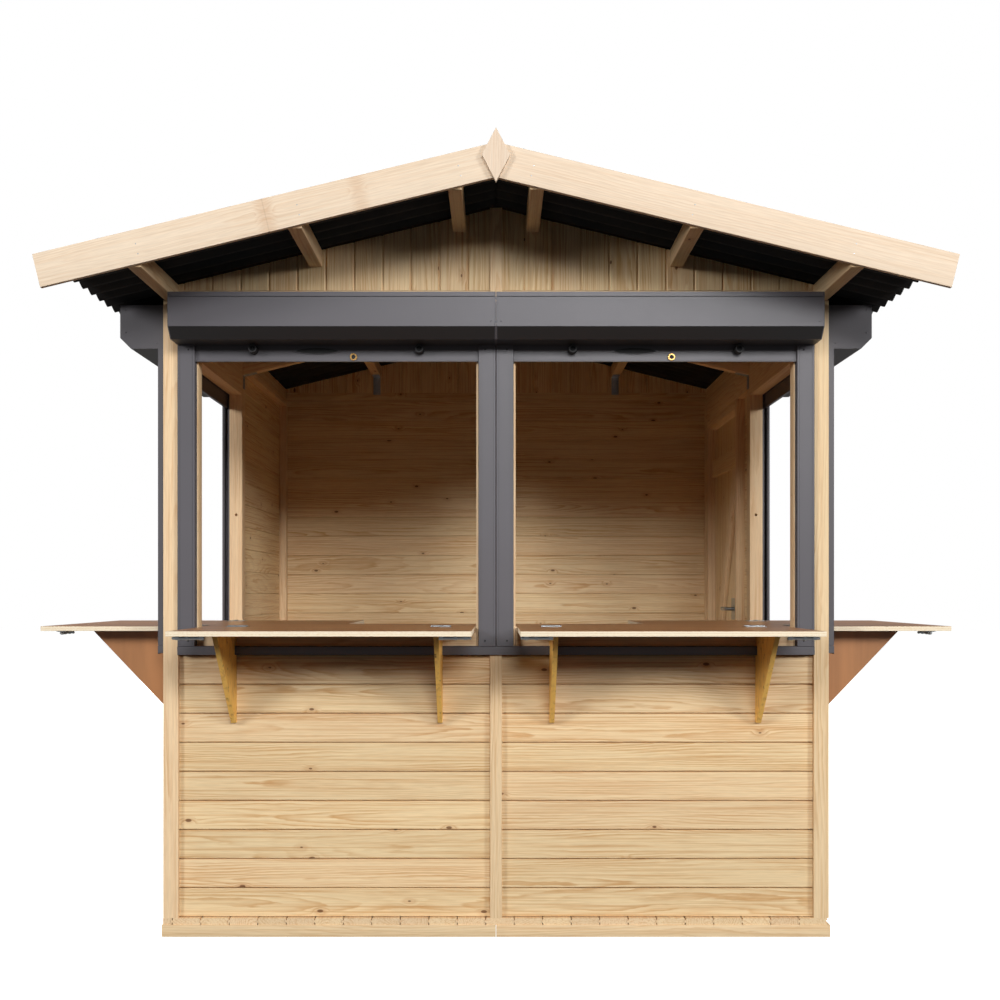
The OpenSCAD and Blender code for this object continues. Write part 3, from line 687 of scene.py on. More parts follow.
class StallColours(bpy.types.PropertyGroup):
    """Colours of the finishes, as sRGB hex values."""

    board: colour_property("Boards", "Early wood of the cladding", "#eed2a6")
    late_wood: colour_property("Late wood", "Late wood of the cladding and the timbers", "#c48a4c")
    timber: colour_property("Timbers", "Early wood of posts and trims", "#eed1a8")
    fascia: colour_property("Bargeboards", "Early wood of the bargeboards", "#ecd7bf")
    late_fascia: colour_property("Late bargeboards", "Late wood of the bargeboards", "#d0a67d")
    knot: colour_property("Knots", "Knots in boards and timbers", "#6b4225")
    aluminium: colour_property("Aluminium", "Powder coating of the shutters", "#5b585d")
    film: colour_property("Film", "Resin film of the counters", "#aa764c")
    ply_edge: colour_property("Ply edge", "Pale plies on sawn edges", "#faecd2")
    ply_dark: colour_property("Dark ply", "Dark plies on sawn edges", "#dcbb8a")
    veneer: colour_property("Veneer", "Bare face of the brackets", "#ffca68")
    veneer_knot: colour_property("Veneer knots", "Dark spots in the bare face", "#6e4a1f")
    zinc: colour_property("Zinc", "Zinc plating", "#b4b8bb")
    brass: colour_property("Brass", "Lock rings", "#b4905c")
    bitumen: colour_property("Bitumen", "Roof sheets", "#171717")
    bitumen_dust: colour_property("Bitumen dust", "Dust on the roof sheets", "#2a2928")


def length_property(name, description, default, low, high):
    """A length in metres."""
    return bpy.props.FloatProperty(name=name, description=description, default=default, min=low, max=high,
                                   unit="LENGTH", subtype="DISTANCE")


class StallSizes(bpy.types.PropertyGroup):
    """Sizes of what the frame leaves to the finish."""

    siding_cover: length_property("Siding cover", "Cover width of the wall boards", 0.1096, 0.08, 0.2)
    siding_first: length_property("First joint", "Height of the lowest wall joint", 0.182, 0.1, 0.3)
    upright_cover: length_property("Upright cover", "Cover width of gable and floor boards", 0.107, 0.08, 0.2)
    door_cover: length_property("Door cover", "Cover width of the door boards", 0.098, 0.08, 0.2)
    wave_pitch: length_property("Wave pitch", "Pitch of the corrugated sheets", 0.095, 0.05, 0.2)
    sheet_t: length_property("Sheet thickness", "Thickness of the corrugated sheets", 0.003, 0.001, 0.006)
    sheet_cover: length_property("Sheet cover", "Cover width of one corrugated sheet", 0.95, 0.5, 1.2)
    light_height: length_property("Light height", "Height of the front light", 5.3, 1.0, 8.0)


def sizes():
    """The sizes that a user can change."""
    return bpy.context.scene.stall_sizes


def colours():
    """The colours that a user can change."""
    return bpy.context.scene.stall_colours


# ---- operators ----


def saw_timbers(node, seed, slot="planed_spruce", ease=EASE):
    """Squared timbers that fill the boxes of a node."""
    stock = Stock(seed)
    for low, high in solids(node):
        timber(stock, low, high, ease=ease)
    stock.build(node, "timber", slot, timber_spruce)


class LayBase(bpy.types.Operator):
    """Lays the base beams, the joists and the floor boards."""

    bl_idname = "stall.lay_base"
    bl_label = "Lay Base"

    def execute(self, context):
        beams = Stock(11)
        butt = 0.001                                     # half the gap between two lengths
        for low, high in solids("base_beams"):
            if high[0] - low[0] > high[1] - low[1]:      # the front and rear beams are two lengths each
                timber(beams, low, [-butt, high[1], high[2]])
                timber(beams, [butt, low[1], low[2]], high)
            else:
                timber(beams, low, high)
        beams.build("base_beams", "timber", "spruce_boards", timber_spruce)
        saw_timbers("floor_joists", 12, "spruce_boards")
        floor = Stock(13)
        low, high = span("floor")
        cover, first = sizes().upright_cover, 0.0385
        boards(floor, low, high, -X, Z, matched(cover, high[2] - low[2], 0.002, 0.0035), cover, first)
        floor.build("floor", "boards", "spruce_boards", timber_spruce)
        return {"FINISHED"}


class BoardWalls(bpy.types.Operator):
    """Boards the walls with drop siding."""

    bl_idname = "stall.board_walls"
    bl_label = "Board Walls"

    def execute(self, context):
        cover, first = sizes().siding_cover, sizes().siding_first
        outward = {"front_wall": -Y, "left_wall_front": -X, "left_wall_rear": -X, "right_wall_front": X,
                   "right_wall_by_door": X, "right_wall_over_door": X, "rear_wall": Y}
        for seed, (node, out) in enumerate(outward.items(), 20):
            wall = Stock(seed)
            for low, high in solids(node):
                boards(wall, low, high, Z, out, siding(cover), cover, first)
            wall.build(node, "boards", "spruce_boards", cladding_spruce)
        return {"FINISHED"}


class BoardGables(bpy.types.Operator):
    """Boards the gables upright, cut to the slope of the roof."""

    bl_idname = "stall.board_gables"
    bl_label = "Board Gables"

    def execute(self, context):
        cover = sizes().upright_cover
        for seed, (node, side) in enumerate({"front_gable": -1, "rear_gable": 1}.items(), 30):
            gable = Stock(seed)
            low, high = span(node)
            edge = side * (high[0] if side < 0 else low[0])

            def cut(middle):
                """Length at the board's near edge and slope of its top, from its middle."""
                slope = -PITCH * np.sign(middle)
                return RIDGE_UNDER - FIT - low[2] + slope * edge, slope

            outline = matched(cover, BOARD_T, 0.004, 0.0032)
            boards(gable, low, high, side * X, side * Y, outline, cover, 0, cut)
            gable.build(node, "boards", "spruce_boards", cladding_spruce)
        return {"FINISHED"}


class RaisePosts(bpy.types.Operator):
    """Raises the posts, which stand proud above the low walls, with their bolt holes."""

    bl_idname = "stall.raise_posts"
    bl_label = "Raise Posts"

    def execute(self, context):
        shoulder, inset = LOW_WALL_TOP + FIT, BOARD_T + FIT
        corner = Stock(40)
        for low, high in solids("corner_posts"):
            inner, outer = sorted((abs(low[0]), abs(high[0])))
            jamb = "inner" if abs(low[1] + FRONT_PLANE) < 0.002 else "rear"
            corner.stand([np.sign(low[0]) * X, Y, Z])
            self.post(corner, [inner, low[1], shoulder], [outer, high[1], high[2]], jamb)
            near = low[1] + inset if jamb == "inner" else low[1]
            timber(corner, [inner, near, low[2]], [outer - inset, high[1], shoulder])
        corner.build("corner_posts", "timber", "planed_spruce", timber_spruce)
        middle = Stock(41)
        for low, high in solids("middle_posts"):
            if abs(low[0] + high[0]) > 0.1:
                inner, outer = sorted((abs(low[0]), abs(high[0])))
                middle.stand([np.sign(low[0]) * X, Y, Z])
                self.post(middle, [inner, low[1], shoulder], [outer, high[1], high[2]], "front")
                timber(middle, [inner, low[1], low[2]], [outer - inset, high[1], shoulder])
            else:
                for side in (-1, 1):
                    middle.stand([side * X, Y, Z])
                    self.post(middle, [0, low[1], shoulder], high, "outer")
                middle.stand()
                timber(middle, [-0.03, low[1] + inset, low[2]], [0.03, high[1], shoulder])
        middle.build("middle_posts", "timber", "planed_spruce", timber_spruce)
        for seed, node in enumerate(("rear_corner_battens", "headers", "top_plates", "timber_sills"), 42):
            saw_timbers(node, seed)
        return {"FINISHED"}

    @staticmethod
    def post(stock, low, high, jamb):
        """A post whose jamb has a hole for the barrel bolt: the inner side on a front corner post,
        the rear side on a side corner post, the front side on a side middle post, and the outer
        side on each half of the front middle post."""
        bolt_height, radius, depth, setback = 1.657, 0.0065, 0.03, 0.032
        size = np.array(high) - low
        side, across = {"front": (2, size[0] - setback), "outer": (5, setback),
                        "rear": (8, setback - size[0]), "inner": (11, -setback)}[jamb]
        hole = (side, bolt_height - low[2], across, radius, depth)
        bar(stock, oblong(size[0], size[1]), np.array(low), X, Y, size[2], hole=hole)


class FixTrims(bpy.types.Operator):
    """Fixes the corner trims and the centre battens."""

    bl_idname = "stall.fix_trims"
    bl_label = "Fix Trims"

    def execute(self, context):
        for seed, node in enumerate(("corner_trims", "centre_battens"), 50):
            saw_timbers(node, seed, ease=0.003)
        return {"FINISHED"}


class FitShutters(bpy.types.Operator):
    """Fits the sills, boxes, rails and raised end slats of the four roller shutters."""

    bl_idname = "stall.fit_shutters"
    bl_label = "Fit Shutters"

    def execute(self, context):
        sill, box, rail, slat, stop = (Stock(60 + i) for i in range(5))
        for low, high in solids("sill_profiles"):
            self.sill(sill, low, high)
        for unit, (axes, origin) in UNITS.items():
            for stock in (box, rail, slat, stop):
                stock.stand(axes, origin)
            (low, high), = of_unit("shutter_boxes", unit)
            self.box(box, low, high)
            for low, high in of_unit("guide_rails", unit):
                self.rail(rail, low, high)
            (low, high), = of_unit("end_slats", unit)
            self.slat(slat, low, high, 1 if unit in ("front_right", "left") else -1)
            for low, high in of_unit("slat_stops", unit):
                self.stop(stop, low, high)
        slot, coat = "anthracite_aluminium", powder_coated_aluminium
        sill.build("sill_profiles", "metal", slot, coat, edge=0.0008)
        box.build("shutter_boxes", "metal", slot, coat, black_profile)
        rail.build("guide_rails", "metal", slot, coat, moulded_rubber)
        slat.build("end_slats", "metal", slot, coat, moulded_rubber, turned_brass)
        stop.build("slat_stops", "rubber", "rubber", moulded_rubber)
        return {"FINISHED"}

    @staticmethod
    def sill(stock, low, high):
        """A sill profile: a folded channel with a drip nose along its lower outer edge."""
        along_x = high[0] - low[0] > high[1] - low[1]
        out = -Y if along_x else X * np.sign(low[0])
        run = np.cross(Z, out)
        origin = np.where(Z + out + run > 0, low, high)
        height, depth = high[2] - low[2], abs((high - low) @ out)
        length = abs((high - low) @ run)
        outline = [(0.004, 0), (height, 0), (height, depth - 0.003), (height - 0.003, depth),
                   (0.007, depth), (0, depth), (0, depth - 0.002), (0.004, depth - 0.002)]
        bar(stock, outline, origin, Z, out, length)

    @staticmethod
    def box(stock, low, high):
        """A shutter box: a folded housing with a flange along its top, a groove under it, a
        chamfered lower edge and an end plate at each end."""
        depth, chamfer, flange, groove, plate_t = high[1], 0.04, 0.016, 0.0025, 0.004
        base, top, back = low[2], high[2], low[1]
        nose, brow, shelf = depth - chamfer, base + chamfer, top - flange
        housing = [(back, base), (nose - 0.001, base), (depth - 0.002, brow - 0.001),
                   (depth - 0.002, shelf - groove), (depth - 0.005, shelf - groove),
                   (depth - 0.005, shelf), (depth, shelf), (depth, top), (back, top)]
        along_x(stock, housing, low[0] + 0.003, high[0] - 0.003)
        # the chamfered foot takes the second finish, near black: painted shade on the downward chamfer
        foot = [(back + 0.001, base - FIT), (nose, base - FIT), (depth - 0.001, brow - 0.002),
                (depth - 0.002, brow), (back + 0.001, brow)]
        along_x(stock, foot, low[0] + 0.004, high[0] - 0.004, finish=1)
        plate = [(back, base - FIT), (nose, base - FIT), (depth, brow), (depth, top), (back, top)]
        for x in (low[0], high[0] - plate_t):
            along_x(stock, plate, x, x + plate_t)
        for x, way in ((low[0], -X), (high[0], X)):
            spots = [(x, depth - 0.02, base + 0.06), (x, depth - 0.02, top - 0.02), (x, 0.04, base + 0.02)]
            screws(stock, spots, way, 0.0035)
        spots = [(x, depth - 0.002, base + 0.058) for x in (low[0] + 0.018, high[0] - 0.018)]
        screws(stock, spots, Y, 0.003)

    @staticmethod
    def rail(stock, low, high):
        """A guide rail: a section with two ribs on its face and a slot towards the opening, lined
        with a dark brush, and a fixing screw near each end."""
        w, depth, height = high[0] - low[0], high[1] - low[1], high[2] - low[2]
        slot_low, slot_high, lip = 0.0087 - low[1], 0.0247 - low[1], 0.036
        edge, rib, valley = 0.008, 0.0095, depth - 0.0012
        outline = [
            (0, 0), (w, 0), (w, slot_low), (w - lip, slot_low), (w - lip, slot_high), (w, slot_high),
            (w, depth - 0.002), (w - 0.002, depth), (w - edge, depth), (w - edge, valley), (w - rib, valley),
            (w - rib, depth), (rib, depth), (rib, valley), (edge, valley), (edge, depth),
            (0.002, depth), (0, depth - 0.002),
        ]
        brush = [(w - 0.012, slot_high - 0.004), (w - 0.002, slot_high - 0.004), (w - 0.002, slot_high),
                 (w - 0.012, slot_high)]
        axes, origin = stock.axes, stock.origin
        stock.stand_in(axes, origin, low, high, mirrored=low[0] > HALF_W / 4)
        bar(stock, outline, np.zeros(3), X, Y, height)
        bar(stock, brush, np.zeros(3), X, Y, height, finish=1)
        screws(stock, [(w * 0.62, depth, z) for z in (0.02, height - 0.018)], Y, 0.0035, 1)
        stock.stand(axes, origin)

    @staticmethod
    def slat(stock, low, high, right):
        """The end slat: a slat with a rib along its foot, a lens-shaped finger grip with a
        raised rim, and a brass lock ring. right is the way along the wall that is the right-hand
        side from outside."""
        height, thick = high[2] - low[2], high[1] - low[1]
        web = thick - 0.002
        outline = [(0, 0), (thick, 0), (thick, 0.004), (web, 0.006), (web, height - 0.021),
                   (thick, height - 0.018), (thick, height), (0, height)]
        bar(stock, outline, low, Y, Z, high[0] - low[0])
        middle = (low[0] + high[0]) / 2
        face = high[1]
        turn = np.linspace(0, math.tau, 40, endpoint=False)
        lens = np.stack([0.085 * np.cos(turn), 0.0115 * np.sin(turn) * np.abs(np.sin(turn)) ** 0.3], -1)
        lens = lens[::-1] @ [X, Z]
        spot = np.array([middle - right * 0.075, face, low[2] + 0.0385])
        rim = ((1.06, -0.003), (1.03, 0.0022), (0.97, 0.0022))
        hollow = ((0.95, 0.001), (0.93, 0.0028))
        for finish, ways in enumerate((rim, hollow)):
            stock.add(*skin(np.array([spot + share * lens + lift * Y for share, lift in ways])), finish)
        spot = np.array([middle + right * 0.062, face, low[2] + 0.0165])
        turned(stock, [(0.014, -0.002), (0.014, 0.003), (0.0125, 0.0042), (0.0085, 0.0042), (0.0075, 0.001)],
               spot, Y, 24, 2)
        turned(stock, [(0.0074, 0), (0.0074, 0.0024), (0.006, 0.003)], spot, Y, 20, 1)

    @staticmethod
    def stop(stock, low, high):
        """A rubber stop: a waisted buffer with a hollow end where its screw sits."""
        radius = (high[0] - low[0]) / 2
        middle = np.array([(low[0] + high[0]) / 2, low[1], (low[2] + high[2]) / 2])
        length = high[1] - low[1]
        turned(stock, [(radius, 0), (radius, 0.005), (radius * 0.88, 0.008), (radius * 0.86, length - 0.009),
                       (radius * 0.95, length - 0.003), (radius * 0.9, length), (radius * 0.64, length),
                       (radius * 0.6, length - 0.014)], middle, Y, 24)
        # the screw in the hollow end is drawn in the same black rubber: painted shade of the hollow
        turned(stock, [(radius * 0.34, 0), (radius * 0.34, length - 0.0125), (radius * 0.2, length - 0.0115)],
               middle, Y, 12)


class HangCounters(bpy.types.Operator):
    """Hangs the fold-up counters, one for each opening."""

    bl_idname = "stall.hang_counters"
    bl_label = "Hang Counters"

    def execute(self, context):
        for seed, unit in enumerate(UNITS, 70):
            node = "counter_" + unit
            stock = Stock(seed)
            low, high = span(node)
            panel(stock, low, high)
            slot = "film_faced_plywood"
            stock.build(node, "board", slot, birch_edges, phenolic_film, body=unit + "_counter", edge=0.001)
        return {"FINISHED"}


def panel(stock, low, high):
    """A plywood panel lying flat: the film on both faces and bare sawn edges all round."""
    size = high - low
    bar(stock, oblong(size[0], size[1], 0.003), low, X, Y, size[2], fibre=0, finish=[0, 1, 1])


class FitHardware(bpy.types.Operator):
    """Fits the barrel bolts and the hinges of the counters."""

    bl_idname = "stall.fit_hardware"
    bl_label = "Fit Hardware"

    def execute(self, context):
        board_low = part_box("counter_front_left")[0].z
        for seed, unit in enumerate(UNITS, 75):
            stock = Stock(seed)
            for low, high in of_unit("fittings_" + unit, unit):
                is_leaf = low[2] > board_low
                # the far bolt is the near one mirrored
                stock.stand_in(*UNITS[unit], low, high, mirrored=not is_leaf and low[0] > HALF_W / 2)
                if is_leaf:
                    self.leaf(stock, high - low)
                else:
                    self.bolt(stock, high - low)
            stock.build("fittings_" + unit, "steel", "zinc_steel", plated_steel, body=unit + "_counter")
        dress(plated_steel, "counter_hinges")
        return {"FINISHED"}

    @staticmethod
    def bolt(stock, size):
        """A barrel bolt under the tip of a counter: a plate, a bar in three pressed loops, a knob on
        the bar's side and four screws. Its tip is at the origin."""
        long, wide, deep = size
        middle = np.array([0, wide - 0.019, 0.0068])
        under = deep - 0.0018                      # underside of the plate
        timber(stock, [0.004, middle[1] - 0.018, under], [long - 0.002, middle[1] + 0.0185, deep],
               ease=0.0006)
        rod = [(0.003, 0), (0.0052, 0.003), (0.0052, long - 0.022), (0.004, long - 0.019)]
        turned(stock, rod, middle, X, 16)
        foot, wall, bore, rise = 0.0165, 0.0068, 0.0055, under - middle[2]
        turn = np.linspace(math.pi, math.tau, 9)
        arc = np.stack([np.cos(turn), np.sin(turn)], -1)
        loop = np.concatenate([[(-foot, rise), (-foot, rise - 0.0014), (-wall, rise - 0.0014)], wall * arc,
                               [(wall, rise - 0.0014), (foot, rise - 0.0014), (foot, rise), (bore, rise)],
                               bore * arc[::-1], [(-bore, rise)]])
        for at, length in ((0.012, 0.014), (0.048, 0.01), (long - 0.034, 0.014)):
            bar(stock, loop, middle + at * X, Y, Z, length)
        knob = [(0.0032, 0), (0.0032, 0.016), (0.0046, 0.018), (0.0054, 0.0215), (0.0046, 0.025),
                (0.002, 0.0265)]
        turned(stock, knob, middle + 0.62 * long * X, -Y, 14)
        spots = [(x, middle[1] + s * 0.0125, under) for x in (0.036, long - 0.012) for s in (-1, 1)]
        screws(stock, spots, -Z, 0.003)

    @staticmethod
    def leaf(stock, size):
        """The turning leaf of a hinge: a plate with three screws, and in its middle third a sheet
        rolled round the pin and clear of it."""
        long, wide, _ = size
        outer, bore = 0.0027, 0.0019
        axis = np.array([0, 0.0028, 0.0028])
        timber(stock, [0, axis[1] + 0.006, 0.0001], [long, wide, 0.0015], axis=0, ease=0.0005)
        turn = -0.5 * math.pi - np.linspace(0, 1.65 * math.pi, 15)
        arc = np.stack([np.cos(turn), np.sin(turn)], -1)
        sheet = np.concatenate([[(0.008, -outer), (0.008, -bore)], bore * arc, outer * arc[::-1]])
        bar(stock, sheet, axis + (long / 3 + 0.0005) * X, Y, Z, long / 3 - 0.001)
        spots = [(long * x, wide * y, 0.0015) for x, y in ((0.15, 0.5), (0.5, 0.78), (0.85, 0.5))]
        screws(stock, spots, Z, 0.0036)


class FixBrackets(bpy.types.Operator):
    """Fixes the triangular counter brackets, film on one face and bare veneer on the other."""

    bl_idname = "stall.fix_brackets"
    bl_label = "Fix Brackets"

    def execute(self, context):
        stock = Stock(80)
        tip, point = 0.022, 0.005
        sill_low, sill_high = span("sill_profiles")
        notch = -sill_low[1] - FRONT_PLANE + FIT
        under, over = sill_low[2] - FIT, sill_high[2] + FIT
        for unit, (axes, origin) in UNITS.items():
            stock.stand(axes, origin)
            for low, high in of_unit("counter_brackets", unit):
                outline = [(low[1], low[2]), (tip, low[2]), (high[1], high[2] - point), (high[1], high[2]),
                           (low[1], high[2]), (low[1], over), (notch, over), (notch, under), (low[1], under)]
                along_x(stock, outline, low[0], high[0], fibre=1, finish=[2, 2, 1])
        stock.build("counter_brackets", "ply", "film_faced_plywood", birch_edges, phenolic_film,
                    raw_veneer, edge=0.001)
        return {"FINISHED"}


class FitWorktops(bpy.types.Operator):
    """Fits the fixed worktops and what carries them."""

    bl_idname = "stall.fit_worktops"
    bl_label = "Fit Worktops"

    def execute(self, context):
        tops = Stock(90)
        for low, high in solids("worktops"):
            panel(tops, low, high)
        slot = "film_faced_plywood"
        tops.build("worktops", "board", slot, birch_edges, phenolic_film, edge=0.001)
        props = Stock(91)
        tip, sheet = 0.022, 0.03                   # a piece thinner than sheet is a plywood bracket
        for low, high in solids("worktop_supports"):
            size = high - low
            if size.min() > sheet:
                timber(props, low, high)
            elif size[0] < sheet:
                outline = [(low[1], low[2]), (low[1] + tip, low[2]), (high[1], high[2] - tip),
                           (high[1], high[2]), (low[1], high[2])]
                along_x(props, outline, low[0], high[0], fibre=1, finish=[1, 2, 2])
            else:
                near, far = sorted((abs(low[0]), abs(high[0])))
                props.stand([np.sign(low[0]) * X, Y, Z])
                outline = [(far - tip, low[2]), (far, low[2]), (far, high[2]), (near, high[2]),
                           (near, high[2] - tip)]
                along_y(props, outline, low[1], high[1], fibre=1, finish=[1, 2, 2])
                props.stand()
        props.build("worktop_supports", "timber", "planed_spruce", timber_spruce, birch_edges,
                    phenolic_film)
        return {"FINISHED"}


class HangDoor(bpy.types.Operator):
    """Hangs the ledged and braced door in its frame, with its straps, pins and lock."""

    bl_idname = "stall.hang_door"
    bl_label = "Hang Door"

    def execute(self, context):
        leaf = Stock(100)
        low, high = span("door")
        cover = sizes().door_cover
        boards(leaf, low, high, Y, X, matched(cover, high[0] - low[0]), cover, low[1])
        leaf.build("door", "boards", "spruce_boards", cladding_spruce, body="side_door")
        self.ledges()
        jambs = Stock(102)
        for low, high in solids("door_frame"):
            self.jamb(jambs, low, high)
        jambs.build("door_frame", "timber", "planed_spruce", timber_spruce)
        dress(plated_steel, "door_straps", "door_hinge_pins", "door_lock")
        return {"FINISHED"}

    @staticmethod
    def ledges():
        """Three ledges across the leaf, and a brace rising between each two towards the lock."""
        stock = Stock(101)
        boxes = solids("door_ledges")
        level = sorted((b for b in boxes if b[1][2] - b[0][2] < 0.12), key=lambda b: b[0][2])
        for low, high in level:
            timber(stock, low, high, ease=0.004)
        low_x, high_x = level[0][0][0], level[0][1][0]
        for below, above in zip(level, level[1:]):
            z0, z1 = below[1][2] + FIT, above[0][2] - FIT
            wide = (below[1][2] - below[0][2]) * 1.2
            near, far = below[1][1], below[0][1]
            rise = np.array([0, far + wide - near, z1 - z0])
            long = np.linalg.norm(rise)
            w = rise / long
            v = -X
            u = np.cross(v, w)
            # level cuts: the height over the foot stays the same across the brace
            slope = -u[2] / w[2]
            width = wide * abs(w[2])
            outline = oblong(width, high_x - low_x, 0.003)
            foot = np.array([high_x, near, z0])
            if (u @ -Y) < 0:
                foot = foot - wide * Y
            bar(stock, outline, foot, u, v, long, start=(slope, 0), end=(slope, 0))
        stock.build("door_ledges", "timber", "planed_spruce", timber_spruce, body="side_door")

    @staticmethod
    def jamb(stock, low, high):
        """A side or the head of the frame. The side with the lock is a jamb with a stop strip, which
        leaves room for the lock and the head."""
        jamb_w, strip_back, strip_t, lock_room, head_room = 0.044, 0.035, 0.014, 0.055, 0.045
        wide = high[1] - low[1]
        if not jamb_w + 0.002 <= wide <= 0.3:
            timber(stock, low, high)
            return
        face = low[1] + jamb_w
        timber(stock, low, [high[0], face, high[2]])
        lock_low, lock_high = span("door_lock")
        for z0, z1 in ((low[2], lock_low[2] - lock_room), (lock_high[2] + lock_room, high[2] - head_room)):
            near = high[0] - strip_back
            timber(stock, [near, face - 0.001, z0], [near + strip_t, high[1], z1], ease=0.0015)


class FrameRoof(bpy.types.Operator):
    """Frames the roof: purlins, rafters and their metal connectors."""

    bl_idname = "stall.frame_roof"
    bl_label = "Frame Roof"

    def execute(self, context):
        purlins = Stock(110)
        for side in (-1, 1):
            purlins.stand([side * X, Y, Z])
            for low, high in PURLINS:
                outline = eased([(low[0], low[2]), (high[0], low[2]), (high[0], roof_under(high[0])),
                                 (low[0], roof_under(low[0]))], 0.003)
                along_y(purlins, outline, low[1], high[1])
        purlins.build("purlins", "timber", "planed_spruce", timber_spruce)
        rafters, steel = Stock(111), Stock(112)
        plumb = (0, -PITCH)
        for low, high in solids("rafters"):
            side = np.sign(low[0] + high[0])
            inner, outer = sorted((abs(low[0]), abs(high[0])))
            rafters.stand([side * X, Y, Z])
            steel.stand([side * X, Y, Z])
            reach = outer - inner
            deep = (high[2] - low[2] - PITCH * reach) / SLOPE
            foot = np.array([inner, low[1], high[2] - deep * SLOPE])
            bar(rafters, oblong(high[1] - low[1], deep), foot, Y, RISE, reach * SLOPE, start=plumb, end=plumb)
            self.angles(steel, low, high, outer)
        rafters.build("rafters", "timber", "planed_spruce", timber_spruce)
        self.ties(steel)
        steel.build("roof", "connectors", "zinc_steel", plated_steel)
        return {"FINISHED"}

    @staticmethod
    def angles(stock, low, high, outer):
        """A steel angle in the corner under a rafter, one leg on the post and one on the rafter,
        with two screws in each."""
        y0, y1 = low[1] + 0.004, high[1] - 0.004
        z, thick, leg = low[2] - 0.002, 0.0025, 0.062
        face, under = outer - thick, z - 0.0005
        timber(stock, [face, y0, z - 0.06], [outer, y1, z], axis=2, ease=0.0006)
        foot = np.array([outer - leg, y0, under + PITCH * leg])
        bar(stock, oblong(y1 - y0, thick, 0.0006), foot, Y, RISE, leg)
        middle = (y0 + y1) / 2
        holes = ((-0.01, 0.02), (0.01, 0.045))
        screws(stock, [(face, middle + dy, z - dz) for dy, dz in holes], -X)
        screws(stock, [(outer - dx, middle + dy, under + PITCH * dx) for dy, dx in holes], -RISE)

    @staticmethod
    def ties(stock):
        """A flat steel tie under each middle purlin on the inner face of both gables: a leg down the
        boards and a short leg along the purlin."""
        half, leg, arm, thick, ease = 0.02, 0.1, 0.09, 0.0022, 0.0005
        low, high = PURLINS[1]
        x, z, wall = (low[0] + high[0]) / 2, low[2], FRONT_PLANE - BOARD_T
        face, gap = wall - thick, 0.0002
        for end, side in QUARTERS:
            stock.stand([side * X, end * Y, Z])
            timber(stock, [x - half, face, z - leg], [x + half, wall - gap, z - gap], axis=2, ease=ease)
            timber(stock, [x - half, wall - arm, z - gap - thick], [x + half, face, z - gap], axis=1,
                   ease=ease)
            holes = ((1, 0.03), (-1, 0.055), (1, 0.08))
            screws(stock, [(x + way * 0.01, face, z - dz) for way, dz in holes], -Y)


class CoverRoof(bpy.types.Operator):
    """Covers the roof with lapped corrugated sheets, their nails and the ridge cap."""

    bl_idname = "stall.cover_roof"
    bl_label = "Cover Roof"

    def execute(self, context):
        for seed, side in enumerate(("left", "right"), 120):
            stock = Stock(seed)
            stock.stand([X if side == "right" else -X, Y, Z])
            self.slope(stock)
            stock.build("roof_" + side, "sheets", "bitumen_sheet", bitumen_fibre)
        self.ridge()
        return {"FINISHED"}

    @staticmethod
    def slope(stock):
        """One slope. The height over the purlins is half the wave times 1 - cos(turn), where turn
        grows by a full circle in each wave pitch along the ridge. Sheets lie low and high in turn,
        so that each laps over the next."""
        low, high = span("roof_right")
        pitch, thick, cover = sizes().wave_pitch, sizes().sheet_t, sizes().sheet_cover
        deep = 0.038
        length = (high[0] - low[0] - PITCH * deep) * SLOPE
        start = np.array([low[0], 0, roof_under(low[0]) + FIT])
        wave = (deep - 2 * thick) / 2 - thick / 2
        along = np.linspace(0, length, 4)

        def height(y, lift):
            """Height of a sheet's middle layer at y."""
            return thick / 2 + lift + wave * (1 - np.cos((y - low[1]) / pitch * math.tau))

        for i, y0 in enumerate(np.arange(low[1], high[1], cover)):
            y1 = min(y0 + cover + pitch, high[1])
            y = np.append(np.arange(y0, y1, pitch / 12), y1)
            lift = thick * 1.05 * (i % 2)
            base = (start + along[:, None, None] * DOWN + y[None, :, None] * Y
                    + height(y, lift)[None, :, None] * RISE)
            shell(stock, base + RISE * thick / 2, base - RISE * thick / 2)
        cap = [(0.011, 0), (0.011, 0.002), (0.0075, 0.005), (0.004, 0.006)]
        crests = low[1] + pitch * (np.arange(1, (high[1] - low[1]) / pitch - 1, 3) + 0.5)   # every third
        crown = thick * 2.5 + 2 * wave - 0.001           # where a nail's cap sits on a crest
        for near, far in PURLINS:
            down = ((near[0] + far[0]) / 2 - start[0]) * SLOPE
            for y in crests:
                turned(stock, cap, start + down * DOWN + y * Y + crown * RISE, RISE, 8)

    @staticmethod
    def ridge():
        """The ridge cap: lengths of a folded strip, each lapped over the next. Its height falls by
        the pitch times the distance from a rounded fold."""
        stock = Stock(122)
        low, high = span("ridge_cap")
        thick, fold, count, lap = 0.0035, 0.014, 4, 0.06
        x = high[0] * np.linspace(-1, 1, 25)
        drop = PITCH * (np.hypot(x, fold) - fold)
        each = (high[1] - low[1] - lap) / count
        for i in range(count):
            y = np.linspace(low[1] + i * each, low[1] + (i + 1) * each + lap, 3)
            z = high[2] - drop - thick * (i % 2)
            top = np.stack(np.broadcast_arrays(x[:, None], y[None], z[:, None]), -1)
            shell(stock, top, top - [0, 0, thick])
        stock.build("ridge_cap", "strip", "bitumen_sheet", bitumen_fibre)


